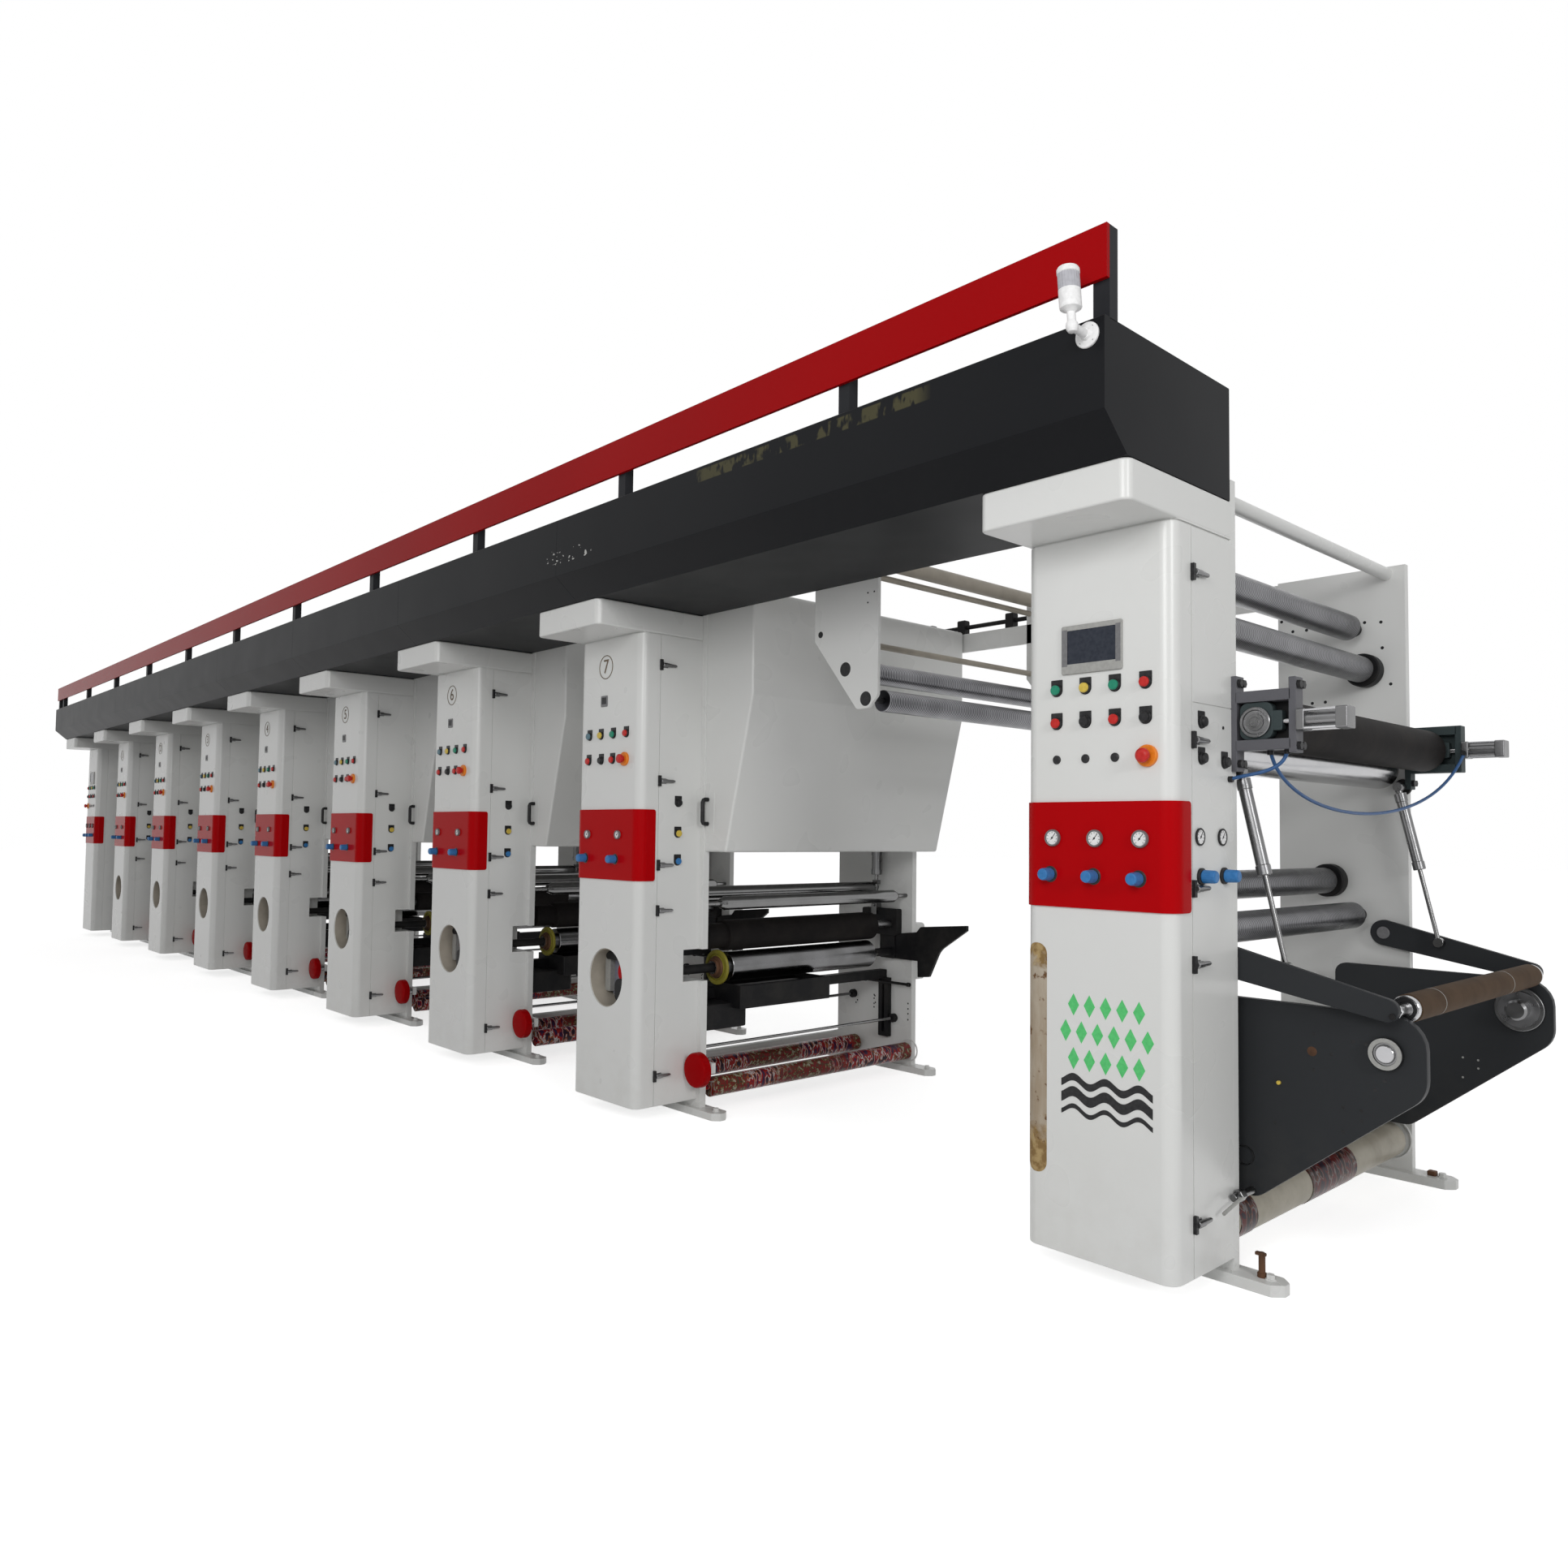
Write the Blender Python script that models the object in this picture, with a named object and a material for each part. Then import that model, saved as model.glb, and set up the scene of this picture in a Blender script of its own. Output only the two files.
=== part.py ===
"""Seven-colour rotogravure printing press, from unwinder (-X) to rewinder (+X), operator side at -Y.

Metres, +Z up. The origin is on the floor under the middle of the press's bounding box.
Each printing unit and each end stand is modelled once, in its own coordinates: x from the
left edge of its cabinet, y from the cabinet's front face, z from the floor. Places written
as pairs are (x, z) there, and (y, z) where they lie on a cabinet's side.
"""

import math

import bmesh
import bpy
from mathutils import Matrix

# Driving dimensions
UNIT_COUNT = 7
UNIT_PITCH = 1.6
UNIT_WIDTH = 0.516
STAND_WIDTH = 0.50
REWIND_BAY = 2.089
UNWIND_BAY = 1.0
WALL_CLEAR = 1.463

# Clearances, and how far joined pieces sink in and cutters run past
SEAT_GAP = 0.0003
RUN_GAP = 0.006
SINK = 0.005
PAST = 0.02

# Cabinets
CABINET_DEPTH = 0.352
CABINET_BOTTOM = 0.07
CABINET_TOP = 2.234
CABINET_CORNER = 0.045
HAT_HEIGHT = 0.118
HAT_REACH = 0.243
HAT_CORNER = 0.03
HAT_LAP = 0.001
PANEL_THICK = 0.006
PANEL_SIDE = 0.09
UNIT_PANEL = (1.085, 1.413)
STAND_PANEL = (1.104, 1.424)
WINDOW = (0.27, 0.638)
WINDOW_RADIUS = 0.135
WINDOW_DEPTH = 0.11
SEAM_Y = 0.105
SEAM_WIDTH = 0.004

# Fittings on the cabinets
GAUGE_RADIUS = 0.026
GAUGE_REACH = 0.018
KNOB_RADIUS = 0.02
KNOB_REACH = 0.062
STOP_RING = 0.032
STOP_RING_REACH = 0.012
STOP_RADIUS = 0.021
STOP_REACH = 0.042
LATCH_REACH = 0.018
LATCH_HALF_HEIGHT = 0.02
LATCH_LENGTH = 0.05
UNIT_GAUGES = ((0.101, 1.303), (0.355, 1.303))
UNIT_KNOBS = ((0.07, 1.19), (0.319, 1.19))
UNIT_STOP = (0.396, 1.653)
UNIT_LATCHES = (2.09, 1.553, 1.166, 0.958, 0.208)
STAND_GAUGES = ((0.098, 1.314), (0.244, 1.314), (0.391, 1.314))
STAND_KNOBS = ((0.081, 1.201), (0.231, 1.201), (0.377, 1.201))
STAND_STOP = (0.421, 1.553)
STAND_LATCHES = (2.08, 1.62, 1.21, 0.98, 0.21)
SIDE_GAUGES = ((0.15, 1.31), (0.26, 1.31))
SIDE_KNOBS = ((0.185, 1.20), (0.29, 1.20))
SIDE_REACH = 0.05
SCREEN = (0.136, 0.342, 1.812, 1.961)
SCREEN_REACH = 0.008

# Walls and feet
WALL_THICK = 0.035
WALL_TOP = 2.42
WALL_OVERHANG = 0.03
STAND_OVERHANG = 0.004
FOOT_THICK = 0.035
FOOT_HALF = 0.045
FOOT_REACH = 0.15
FOOT_CORNER = 0.04
ANCHOR_RADIUS = 0.014
ANCHOR_HEIGHT = 0.105
ANCHOR_INSET = 0.03

# Overhead duct, its posts and the fascia
DUCT_HEIGHT = 0.351
DUCT_REACH = 0.359
DUCT_CHAMFER = 0.098
DUCT_CHAMFER_IN = 0.113
FASCIA_BOTTOM = 2.809
FASCIA_HEIGHT = 0.149
FASCIA_THICK = 0.014
FASCIA_SETBACK = 0.012
POST_PITCH = 1.295
POST_WIDTH = 0.05
POST_DEPTH = 0.04
END_POST_STEP = 0.989

# Drying hood
HOOD_BOTTOM = 1.228
HOOD_TOP = 2.43
HOOD_KNEE = 1.95
HOOD_HALF_BOTTOM = 0.44
HOOD_HALF_TOP = 0.617
HOOD_WING = 0.028
HANDLE_X = 0.556
HANDLE_WIDTH = 0.016
HANDLE_THICK = 0.014
HANDLE_REACH = 0.04
HANDLE_BOTTOM = 1.352
HANDLE_TOP = 1.48

# Printing head
CYLINDER_X = 0.413
CYLINDER_Z = 0.66
CYLINDER_RADIUS = 0.073
CYLINDER_FACE = 1.02
CYLINDER_INSET = 0.213
SHAFT_PROUD = 0.052
SHAFT_RADIUS = 0.022
RING_RADIUS = 0.085
RING_GAP = 0.04
RING_THICK = 0.015
IMPRESSION_RADIUS = 0.075
IMPRESSION_SHAFT = 0.025
IMPRESSION_OVERLAP = 0.02
HEAD_PLATE = 0.02
HEAD_LEFT = 0.12
HEAD_RIGHT = 0.10
HEAD_DROP = 0.145
HEAD_RISE = 0.09
PAN_DEPTH = 0.09
PAN_WIDTH = 0.30
PAN_WALL = 0.012
PAN_HOLLOW = 0.02
DOCTOR_BEAM = (0.05, 0.10, 0.03, 0.08)
SUMP = (0.30, 0.50, 0.375)
SUMP_LENGTH = 0.27
BEARING = (0.358, 0.545, 0.63, 0.762)
BEARING_DEPTH = 0.045
NOTCH_CLEAR = 0.008
NOTCH_DEPTH = 0.087
PRESS_CYLINDER_X = 0.335
PRESS_CYLINDER_RADIUS = 0.03
PRESS_CYLINDER_BOTTOM = 1.09
PRESS_ROD_RADIUS = 0.01
CATCH_PLATE = (
    (0.36, 0.62, 0),
    (0.602, 0.62, 0),
    (0.604, 0.531, 0),
    (0.685, 0.54, 0),
    (0.76, 0.69, 0.12),
    (0.944, 0.81, 0),
    (0.944, 0.838, 0),
    (0.623, 0.81, 0),
    (0.594, 0.779, 0),
    (0.36, 0.75, 0),
)

# Guide rollers, rods and parked rolls of a printing unit
GUIDE_RADIUS = 0.034
GUIDE_FRONT = (0.50, 0.975)
GUIDE_REAR = (0.28, 1.005)
JOURNAL_RADIUS = 0.012
ROLLER_INSET = 0.03
STAY_ROD = (0.46, 0.30)
ROD_RADIUS = 0.008
TIE_RADIUS = 0.025
TIE_LOW = (0.0, 0.14)
SLOT_PLATE = (0.306, 0.388, 0.17, 0.495)
SLOT_PLATE_THICK = 0.03
SLOT_MARGIN = 0.028
SLOT_DEPTH = 0.015
TEE_BAR = (0.246, 0.591, 0.476)
FILM_ROLL_RADIUS = 0.05
FILM_ROLL_BACK = (0.24, 0.18)
FILM_ROLL_FRONT_OUT = 0.056
FILM_ROLL_FRONT_Z = 0.17
FILM_ROLL_ARM = 0.025
ROLL_CAP_RADIUS = 0.08
ROLL_CAP_PROUD = 0.072
ROLL_CAP_THICK = 0.025
GEAR_CASE_DEPTH = 0.115
GEAR_CASE_LEFT = 0.16
GEAR_CASE_RIGHT = 0.10

# End stands: guide rollers, draw roller, ties and the nip roller's brackets
STAND_ROLLER_RADIUS = 0.052
STAND_ROLLERS = ((0.308, 2.179), (0.354, 2.004), (0.208, 1.154), (0.315, 1.02))
STAND_FILM_ROLL = (0.40, 0.16)
STAND_TIES = ((0.43, 2.39), (0.05, 0.14), (0.06, 0.62))
DRAW_ROLLER = (0.405, 1.60)
DRAW_RADIUS = 0.075
NIP_X = 0.572
NIP_Z = 1.667
NIP_RADIUS = 0.08
NIP_JOURNAL = 0.02
NIP_INSET = 0.03
NIP_BOSS_RADIUS = 0.05
NIP_BOSS_REACH = 0.014
NIP_FRAME_RIGHT = 0.731
NIP_FRAME_BOTTOM = 1.575
NIP_FRAME_TOP = 1.80
NIP_FRAME_THICK = 0.05
NIP_CYLINDER_END = 0.875
NIP_CYLINDER_RADIUS = 0.026
NIP_CAP_HALF = 0.032
NIP_CAP_THICK = 0.025

# Winding arms, lay-on gear and its air cylinders
ARM_PLATE = 0.03
ARM_STANDOFF = 0.068
ARM_SHAFT = (0.485, 0.355)
ARM_LEFT = 0.255
ARM_TIP = 0.995
ARM_TOP = 0.83
ARM_TIP_BOTTOM = 0.615
ARM_HEEL_X = 0.525
ARM_BOTTOM = 0.235
ARM_CORNER = 0.04
ARM_TIP_CORNER = 0.092
ARM_HEEL_CORNER = 0.06
ARM_SHAFT_RADIUS = 0.045
ARM_BOSSES = ((0.32, 0.74), (0.32, 0.32))
ARM_BOSS_RADIUS = 0.04
CHUCK = (0.895, 0.722)
CHUCK_DISC = 0.078
CHUCK_DISC_THICK = 0.02
CHUCK_NOSE = 0.036
CHUCK_NOSE_REACH = 0.07
CHUCK_JOURNAL = 0.03
CHUCK_COLLAR = 0.045
CHUCK_COLLAR_THICK = 0.016
LAY_ON_PIVOT = (0.415, 0.955)
LAY_ON_END = (0.93, 0.846)
LAY_ON_PIVOT_RADIUS = 0.05
LAY_ON_TIP_RADIUS = 0.034
LAY_ON_THICK = 0.024
LAY_ON_RADIUS = 0.04
LAY_ON_SHAFT = 0.014
LAY_ON_PIN = 0.016
LAY_ON_PIN_PROUD = 0.004
ROD_END = (0.621, 0.934)
BARREL_TOP = (0.485, 1.53)
BARREL_RADIUS = 0.022
BARREL_LENGTH = 0.33
BARREL_SHOULDER = 0.026
BARREL_CAP = 0.05
ROD_TRAVEL = 0.135
EYE_RADIUS = 0.018
EYE_HALF = 0.012
NECK_RADIUS = 0.01
PIN_BOSS = 0.016
LUG_HALF = 0.03
LUG_THICK = 0.012

# Bridge between the last unit and the rewinder
BRIDGE_X = 1.283
BRIDGE_WIDTH = 0.365
BRIDGE_BOTTOM = 1.829
BRIDGE_SHOULDER_RISE = 0.305
BRIDGE_TOE = 0.05
BRIDGE_HEEL = 0.117
BRIDGE_TOP = 2.56
BRIDGE_ROLLER_OFFSETS = ((0.183, 0.170), (0.299, 0.039))
BRIDGE_ROD_INSET = 0.022
BRIDGE_ROD_RISE = 0.027
BRIDGE_TOP_ROD_INSET = 0.017
BRIDGE_TOP_ROD_DROP = 0.085
BRIDGE_ROLLER_RADIUS = 0.045
BRIDGE_ROLLER_INSET = 0.10
BRIDGE_ROD_RADIUS = 0.014
BRIDGE_PLATE = 0.015
BEAM_DEPTH = 0.10
BEAM_LAP = 0.10
CLAMPS = (0.62, 0.85, 1.17)
CLAMP_WIDTH = 0.05
CLAMP_RISE = 0.08
CLAMP_SHAFT_RADIUS = 0.012

# Beacon
BEACON_RADIUS = 0.028
BEACON_LIP = 0.003
BEACON_TAPER = 0.008
BEACON_CAP = 0.018
BEACON_LAMP_BOTTOM = 0.045
BEACON_HEIGHT = 0.182
BEACON_FLANGE = 0.032
BEACON_FLANGE_THICK = 0.008
BEACON_ARM = 0.075
BEACON_ARM_RADIUS = 0.012
BEACON_INSET = 0.05
BEACON_Z = 2.66

# Derived places
LINE_LENGTH = 2 * STAND_WIDTH + UNWIND_BAY + (UNIT_COUNT - 1) * UNIT_PITCH + UNIT_WIDTH + REWIND_BAY
LINE_START = -LINE_LENGTH / 2
FIRST_UNIT_X = LINE_START + STAND_WIDTH + UNWIND_BAY
REWIND_X = LINE_LENGTH / 2 - STAND_WIDTH
WALL_Y = CABINET_DEPTH + SEAT_GAP
INNER_NEAR = WALL_Y + WALL_THICK
INNER_FAR = INNER_NEAR + WALL_CLEAR
WALL_BACK = INNER_FAR + WALL_THICK
PRESS_REACH = DUCT_REACH + SEAT_GAP + BEACON_ARM + BEACON_RADIUS + BEACON_LIP
FACE_Y = (PRESS_REACH - WALL_BACK - GEAR_CASE_DEPTH) / 2
HAT_TOP = CABINET_TOP + HAT_HEIGHT - SEAT_GAP
DUCT_BOTTOM = HAT_TOP + SEAT_GAP
DUCT_TOP = DUCT_BOTTOM + DUCT_HEIGHT
CYLINDER_START = INNER_NEAR + CYLINDER_INSET
SHAFT_START = CABINET_DEPTH - SHAFT_PROUD
RING_START = CYLINDER_START - RING_GAP - RING_THICK
IMPRESSION_Z = CYLINDER_Z + CYLINDER_RADIUS + RUN_GAP + IMPRESSION_RADIUS
UNIT_RIGHT = UNIT_WIDTH + WALL_OVERHANG
ARM_NEAR = INNER_NEAR + ARM_STANDOFF
ARM_FAR = INNER_FAR - ARM_STANDOFF - ARM_PLATE
PIN_OFFSET = RUN_GAP + LAY_ON_THICK + RUN_GAP + BARREL_RADIUS
BOSS_REACH = PIN_OFFSET - EYE_HALF - SEAT_GAP
NOTCH = (BEARING[0] - NOTCH_CLEAR, BEARING[2] - NOTCH_CLEAR, BEARING[3] + NOTCH_CLEAR)


def material(name, colour, roughness, metallic=0.0):
    made = bpy.data.materials.new(name)
    made.use_nodes = True
    shader = made.node_tree.nodes["Principled BSDF"]
    shader.inputs["Base Color"].default_value = (*colour, 1)
    shader.inputs["Roughness"].default_value = roughness
    shader.inputs["Metallic"].default_value = metallic
    made.diffuse_color = (*colour, 1)
    return made


def from_bmesh(shape):
    """A hidden helper object from a bmesh."""
    mesh = bpy.data.meshes.new("helper")
    shape.to_mesh(mesh)
    shape.free()
    helper = bpy.data.objects.new("helper", mesh)
    helper.hide_render = True
    helper.display_type = "WIRE"
    cutters.objects.link(helper)
    return helper


def block(x0, x1, y0, y1, z0, z1):
    size = Matrix.Diagonal((x1 - x0, y1 - y0, z1 - z0, 1))
    middle = Matrix.Translation(((x0 + x1) / 2, (y0 + y1) / 2, (z0 + z1) / 2))
    shape = bmesh.new()
    bmesh.ops.create_cube(shape, size=1, matrix=middle @ size)
    return from_bmesh(shape)


def bar(axis, place, start, end, radius, sides=12, end_radius=None, twist=0.0):
    """A round bar along one axis. place is its centre in the other two coordinates, in their order."""
    turn = {
        "x": Matrix.Rotation(math.pi / 2, 4, "Y"),
        "y": Matrix.Rotation(-math.pi / 2, 4, "X"),
        "z": Matrix.Identity(4),
    }[axis]
    middle = (start + end) / 2
    where = {
        "x": (middle, place[0], place[1]),
        "y": (place[0], middle, place[1]),
        "z": (place[0], place[1], middle),
    }[axis]
    shape = bmesh.new()
    bmesh.ops.create_cone(
        shape,
        cap_ends=True,
        segments=sides,
        radius1=radius,
        radius2=radius if end_radius is None else end_radius,
        depth=end - start,
        matrix=Matrix.Translation(where) @ turn @ Matrix.Rotation(twist, 4, "Z"),
    )
    return from_bmesh(shape)


def bore(axis, place, start, end, pin_radius, sides=12):
    """The cutter of a bore that a pin with as many sides turns in, its flats against the pin's corners."""
    half_step = math.pi / sides
    corner = (pin_radius + SEAT_GAP) / math.cos(half_step)
    return bar(axis, place, start, end, corner, sides, twist=half_step)


def rounded(corners, steps=2):
    """The points of a polygon whose corners, given as (u, v, radius), are arcs."""
    points = []
    for index, (u, v, radius) in enumerate(corners):
        if not radius:
            points.append((u, v))
            continue
        before = corners[index - 1]
        after = corners[(index + 1) % len(corners)]
        back = math.atan2(before[1] - v, before[0] - u)
        ahead = math.atan2(after[1] - v, after[0] - u)
        half = ((ahead - back + math.pi) % (2 * math.pi) - math.pi) / 2
        reach = radius / abs(math.sin(half))
        centre_u = u + reach * math.cos(back + half)
        centre_v = v + reach * math.sin(back + half)
        side = math.copysign(math.pi / 2, half)
        first = back - side
        last = ahead + side
        sweep = (last - first + math.pi) % (2 * math.pi) - math.pi
        for step in range(steps + 1):
            angle = first + sweep * step / steps
            points.append((centre_u + radius * math.cos(angle), centre_v + radius * math.sin(angle)))
    return points


def link_outline(a, a_radius, b, b_radius, steps=4):
    """The outline round two circles and the two lines that touch both."""
    along = math.atan2(b[1] - a[1], b[0] - a[0])
    spread = math.acos((a_radius - b_radius) / math.dist(a, b))
    points = []
    for centre, radius, first, last in (
        (b, b_radius, along - spread, along + spread),
        (a, a_radius, along + spread, along + 2 * math.pi - spread),
    ):
        for step in range(steps + 1):
            angle = first + (last - first) * step / steps
            points.append((centre[0] + radius * math.cos(angle), centre[1] + radius * math.sin(angle)))
    return points


def extruded(points, axis, start, end):
    """A flat outline, in the two coordinates other than axis, extruded from start to end along it."""
    curve = bpy.data.curves.new("outline", "CURVE")
    curve.dimensions = "2D"
    curve.fill_mode = "BOTH"
    curve.extrude = (end - start) / 2
    spline = curve.splines.new("POLY")
    spline.points.add(len(points) - 1)
    for point, (u, v) in zip(spline.points, points):
        point.co = (u, v, 0, 1)
    spline.use_cyclic_u = True
    drawn = bpy.data.objects.new("outline", curve)
    cutters.objects.link(drawn)
    middle = (start + end) / 2
    turn = {
        "x": Matrix(((0, 0, 1, middle), (1, 0, 0, 0), (0, 1, 0, 0), (0, 0, 0, 1))),
        "y": Matrix(((1, 0, 0, 0), (0, 0, -1, middle), (0, 1, 0, 0), (0, 0, 0, 1))),
        "z": Matrix.Translation((0, 0, middle)),
    }[axis]
    shape = bmesh.new()
    shape.from_mesh(evaluated(drawn))
    bpy.data.objects.remove(drawn)
    bmesh.ops.remove_doubles(shape, verts=shape.verts, dist=1e-5)
    bmesh.ops.recalc_face_normals(shape, faces=shape.faces)
    shape.transform(turn)
    return from_bmesh(shape)


def evaluated(thing):
    graph = bpy.context.evaluated_depsgraph_get()
    return bpy.data.meshes.new_from_object(thing.evaluated_get(graph))


def fused(solids, cuts=()):
    """One mesh: the solids joined, then the cuts taken out. The helpers are used up."""
    base = solids[0]
    for other, operation in [(s, "UNION") for s in solids[1:]] + [(c, "DIFFERENCE") for c in cuts]:
        modifier = base.modifiers.new("join", "BOOLEAN")
        modifier.operation = operation
        modifier.object = other
    mesh = evaluated(base)
    for helper in [*solids, *cuts]:
        bpy.data.objects.remove(helper)
    mesh.shade_smooth()
    mesh.set_sharp_from_angle(angle=math.radians(35))
    return mesh


def mirrored(mesh):
    """A copy turned left for right about x = 0."""
    copy = mesh.copy()
    copy.transform(Matrix.Scale(-1, 4, (1, 0, 0)))
    copy.flip_normals()
    return copy


def node(name, mesh, finish, x, y=0.0, z=0.0):
    """A named part of the press, with x from the middle of the line and y from the cabinets' faces."""
    made = bpy.data.objects.new(name, mesh)
    if not mesh.materials:
        mesh.materials.append(finish)
    made.parent = press
    made.location = (x, y, z)
    parts.objects.link(made)
    return made


def across(place, radius, sides=8):
    """A bar from wall to wall, sunk into both."""
    return bar("y", place, INNER_NEAR - WALL_THICK / 2, INNER_FAR + WALL_THICK / 2, radius, sides)


def guide_roller(place, radius, sides=8):
    """A roller body between the walls and its journals in them."""
    body = bar("y", place, INNER_NEAR + ROLLER_INSET, INNER_FAR - ROLLER_INSET, radius, sides)
    return [body, across(place, JOURNAL_RADIUS, 6)]


def on_both_walls(place, reach, radius, sides=8):
    """A pin or boss on each wall's inner face, standing out by reach."""
    return [
        bar("y", place, INNER_NEAR - SINK, INNER_NEAR + reach, radius, sides),
        bar("y", place, INNER_FAR - reach, INNER_FAR + SINK, radius, sides),
    ]


def front_fittings(places, radius, reach, sides=8):
    """Round fittings that stand out from a cabinet's front by reach."""
    return [bar("y", place, -reach, SINK, radius, sides) for place in places]


def side_fittings(width, places, radius, reach, sides=8):
    """Round fittings that stand out from a cabinet's right side by reach."""
    return [bar("x", place, width - SINK, width + reach, radius, sides) for place in places]


def latches(width, heights):
    """Cover latches beside the seam on a cabinet's right side."""
    start = SEAM_Y + SEAM_WIDTH + SEAT_GAP
    half = LATCH_HALF_HEIGHT
    return [
        block(width - SINK, width + LATCH_REACH, start, start + LATCH_LENGTH, z - half, z + half)
        for z in heights
    ]


def stop_button(place):
    """The ring and the mushroom head of an emergency stop."""
    ring = front_fittings([place], STOP_RING, STOP_RING_REACH)
    return ring + front_fittings([place], STOP_RADIUS, STOP_REACH)


def cabinet_mesh(width, panel, fittings, cuts):
    """The closed front housing of a unit or end stand, with its hat and the panel that wraps round it."""
    front = CABINET_CORNER
    body = rounded([(0, 0, front), (width, 0, front), (width, CABINET_DEPTH, 0), (0, CABINET_DEPTH, 0)])
    hat = rounded(
        [
            (-HAT_LAP, -HAT_REACH, HAT_CORNER),
            (width + HAT_LAP, -HAT_REACH, HAT_CORNER),
            (width + HAT_LAP, CABINET_DEPTH - HAT_LAP, 0),
            (-HAT_LAP, CABINET_DEPTH - HAT_LAP, 0),
        ]
    )
    thick = PANEL_THICK
    wrap = rounded(
        [
            (-thick, -thick, front + thick),
            (width + thick, -thick, front + thick),
            (width + thick, PANEL_SIDE, 0),
            (-thick, PANEL_SIDE, 0),
        ]
    )
    solids = [
        extruded(body, "z", CABINET_BOTTOM, CABINET_TOP + HAT_HEIGHT / 2),
        extruded(hat, "z", CABINET_TOP, HAT_TOP),
        extruded(wrap, "z", *panel),
    ]
    seams = [
        block(left, right, SEAM_Y, SEAM_Y + SEAM_WIDTH, 0, CABINET_TOP - SEAM_WIDTH)
        for left, right in ((-PAST, SEAM_WIDTH), (width - SEAM_WIDTH, width + PAST))
    ]
    return fused(solids + fittings, seams + cuts)


def unit_cabinet_mesh():
    """The round window and the notch for the cylinder's bearing are open."""
    fittings = front_fittings(UNIT_GAUGES, GAUGE_RADIUS, GAUGE_REACH)
    fittings += front_fittings(UNIT_KNOBS, KNOB_RADIUS, KNOB_REACH, 6)
    fittings += stop_button(UNIT_STOP) + latches(UNIT_WIDTH, UNIT_LATCHES)
    left, bottom, top = NOTCH
    cuts = [
        bar("y", WINDOW, -PAST, WINDOW_DEPTH, WINDOW_RADIUS, 14),
        block(left, UNIT_WIDTH + PAST, CABINET_DEPTH - NOTCH_DEPTH, CABINET_DEPTH + PAST, bottom, top),
    ]
    return cabinet_mesh(UNIT_WIDTH, UNIT_PANEL, fittings, cuts)


def stand_cabinet_mesh():
    """An end stand's cabinet has the screen, three gauges and more fittings on its side."""
    fittings = front_fittings(STAND_GAUGES, GAUGE_RADIUS, GAUGE_REACH)
    fittings += front_fittings(STAND_KNOBS, KNOB_RADIUS, KNOB_REACH)
    fittings += side_fittings(STAND_WIDTH, SIDE_GAUGES, GAUGE_RADIUS, GAUGE_REACH)
    fittings += side_fittings(STAND_WIDTH, SIDE_KNOBS, KNOB_RADIUS, SIDE_REACH)
    fittings += stop_button(STAND_STOP) + latches(STAND_WIDTH, STAND_LATCHES)
    left, right, bottom, top = SCREEN
    fittings.append(block(left, right, -SCREEN_REACH, SINK, bottom, top))
    return cabinet_mesh(STAND_WIDTH, STAND_PANEL, fittings, [])


def walls_and_feet(left, right):
    """Both side walls of a stand on their feet."""
    solids = []
    for y in (WALL_Y, INNER_FAR):
        solids.append(block(left, right, y, y + WALL_THICK, FOOT_THICK - SINK, WALL_TOP))
        middle = y + WALL_THICK / 2
        foot = rounded(
            [
                (left - FOOT_REACH, middle - FOOT_HALF, FOOT_CORNER),
                (right + FOOT_REACH, middle - FOOT_HALF, FOOT_CORNER),
                (right + FOOT_REACH, middle + FOOT_HALF, FOOT_CORNER),
                (left - FOOT_REACH, middle + FOOT_HALF, FOOT_CORNER),
            ],
            1,
        )
        solids.append(extruded(foot, "z", 0, FOOT_THICK))
    return solids


def parked_rolls():
    """Film rolls near the floor: one between the walls, one on arms outside with a red cap on its end."""
    solids = guide_roller(FILM_ROLL_BACK, FILM_ROLL_RADIUS)
    place = (UNIT_RIGHT + FILM_ROLL_FRONT_OUT, FILM_ROLL_FRONT_Z)
    cap_start = CABINET_DEPTH - ROLL_CAP_PROUD
    cap_end = cap_start + ROLL_CAP_THICK
    solids.append(bar("y", place, cap_end - SINK, INNER_FAR - ROLLER_INSET, FILM_ROLL_RADIUS, 8))
    solids.append(bar("y", place, cap_start, cap_end, ROLL_CAP_RADIUS))
    solids.append(bar("y", place, INNER_FAR - ROLLER_INSET - SINK, WALL_BACK - SINK, JOURNAL_RADIUS, 6))
    for y in (WALL_Y, INNER_FAR):
        solids.append(
            block(
                UNIT_RIGHT - PAST,
                place[0],
                y + SINK,
                y + WALL_THICK - SINK,
                place[1] - FILM_ROLL_ARM,
                place[1] + FILM_ROLL_ARM,
            )
        )
    return solids


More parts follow.
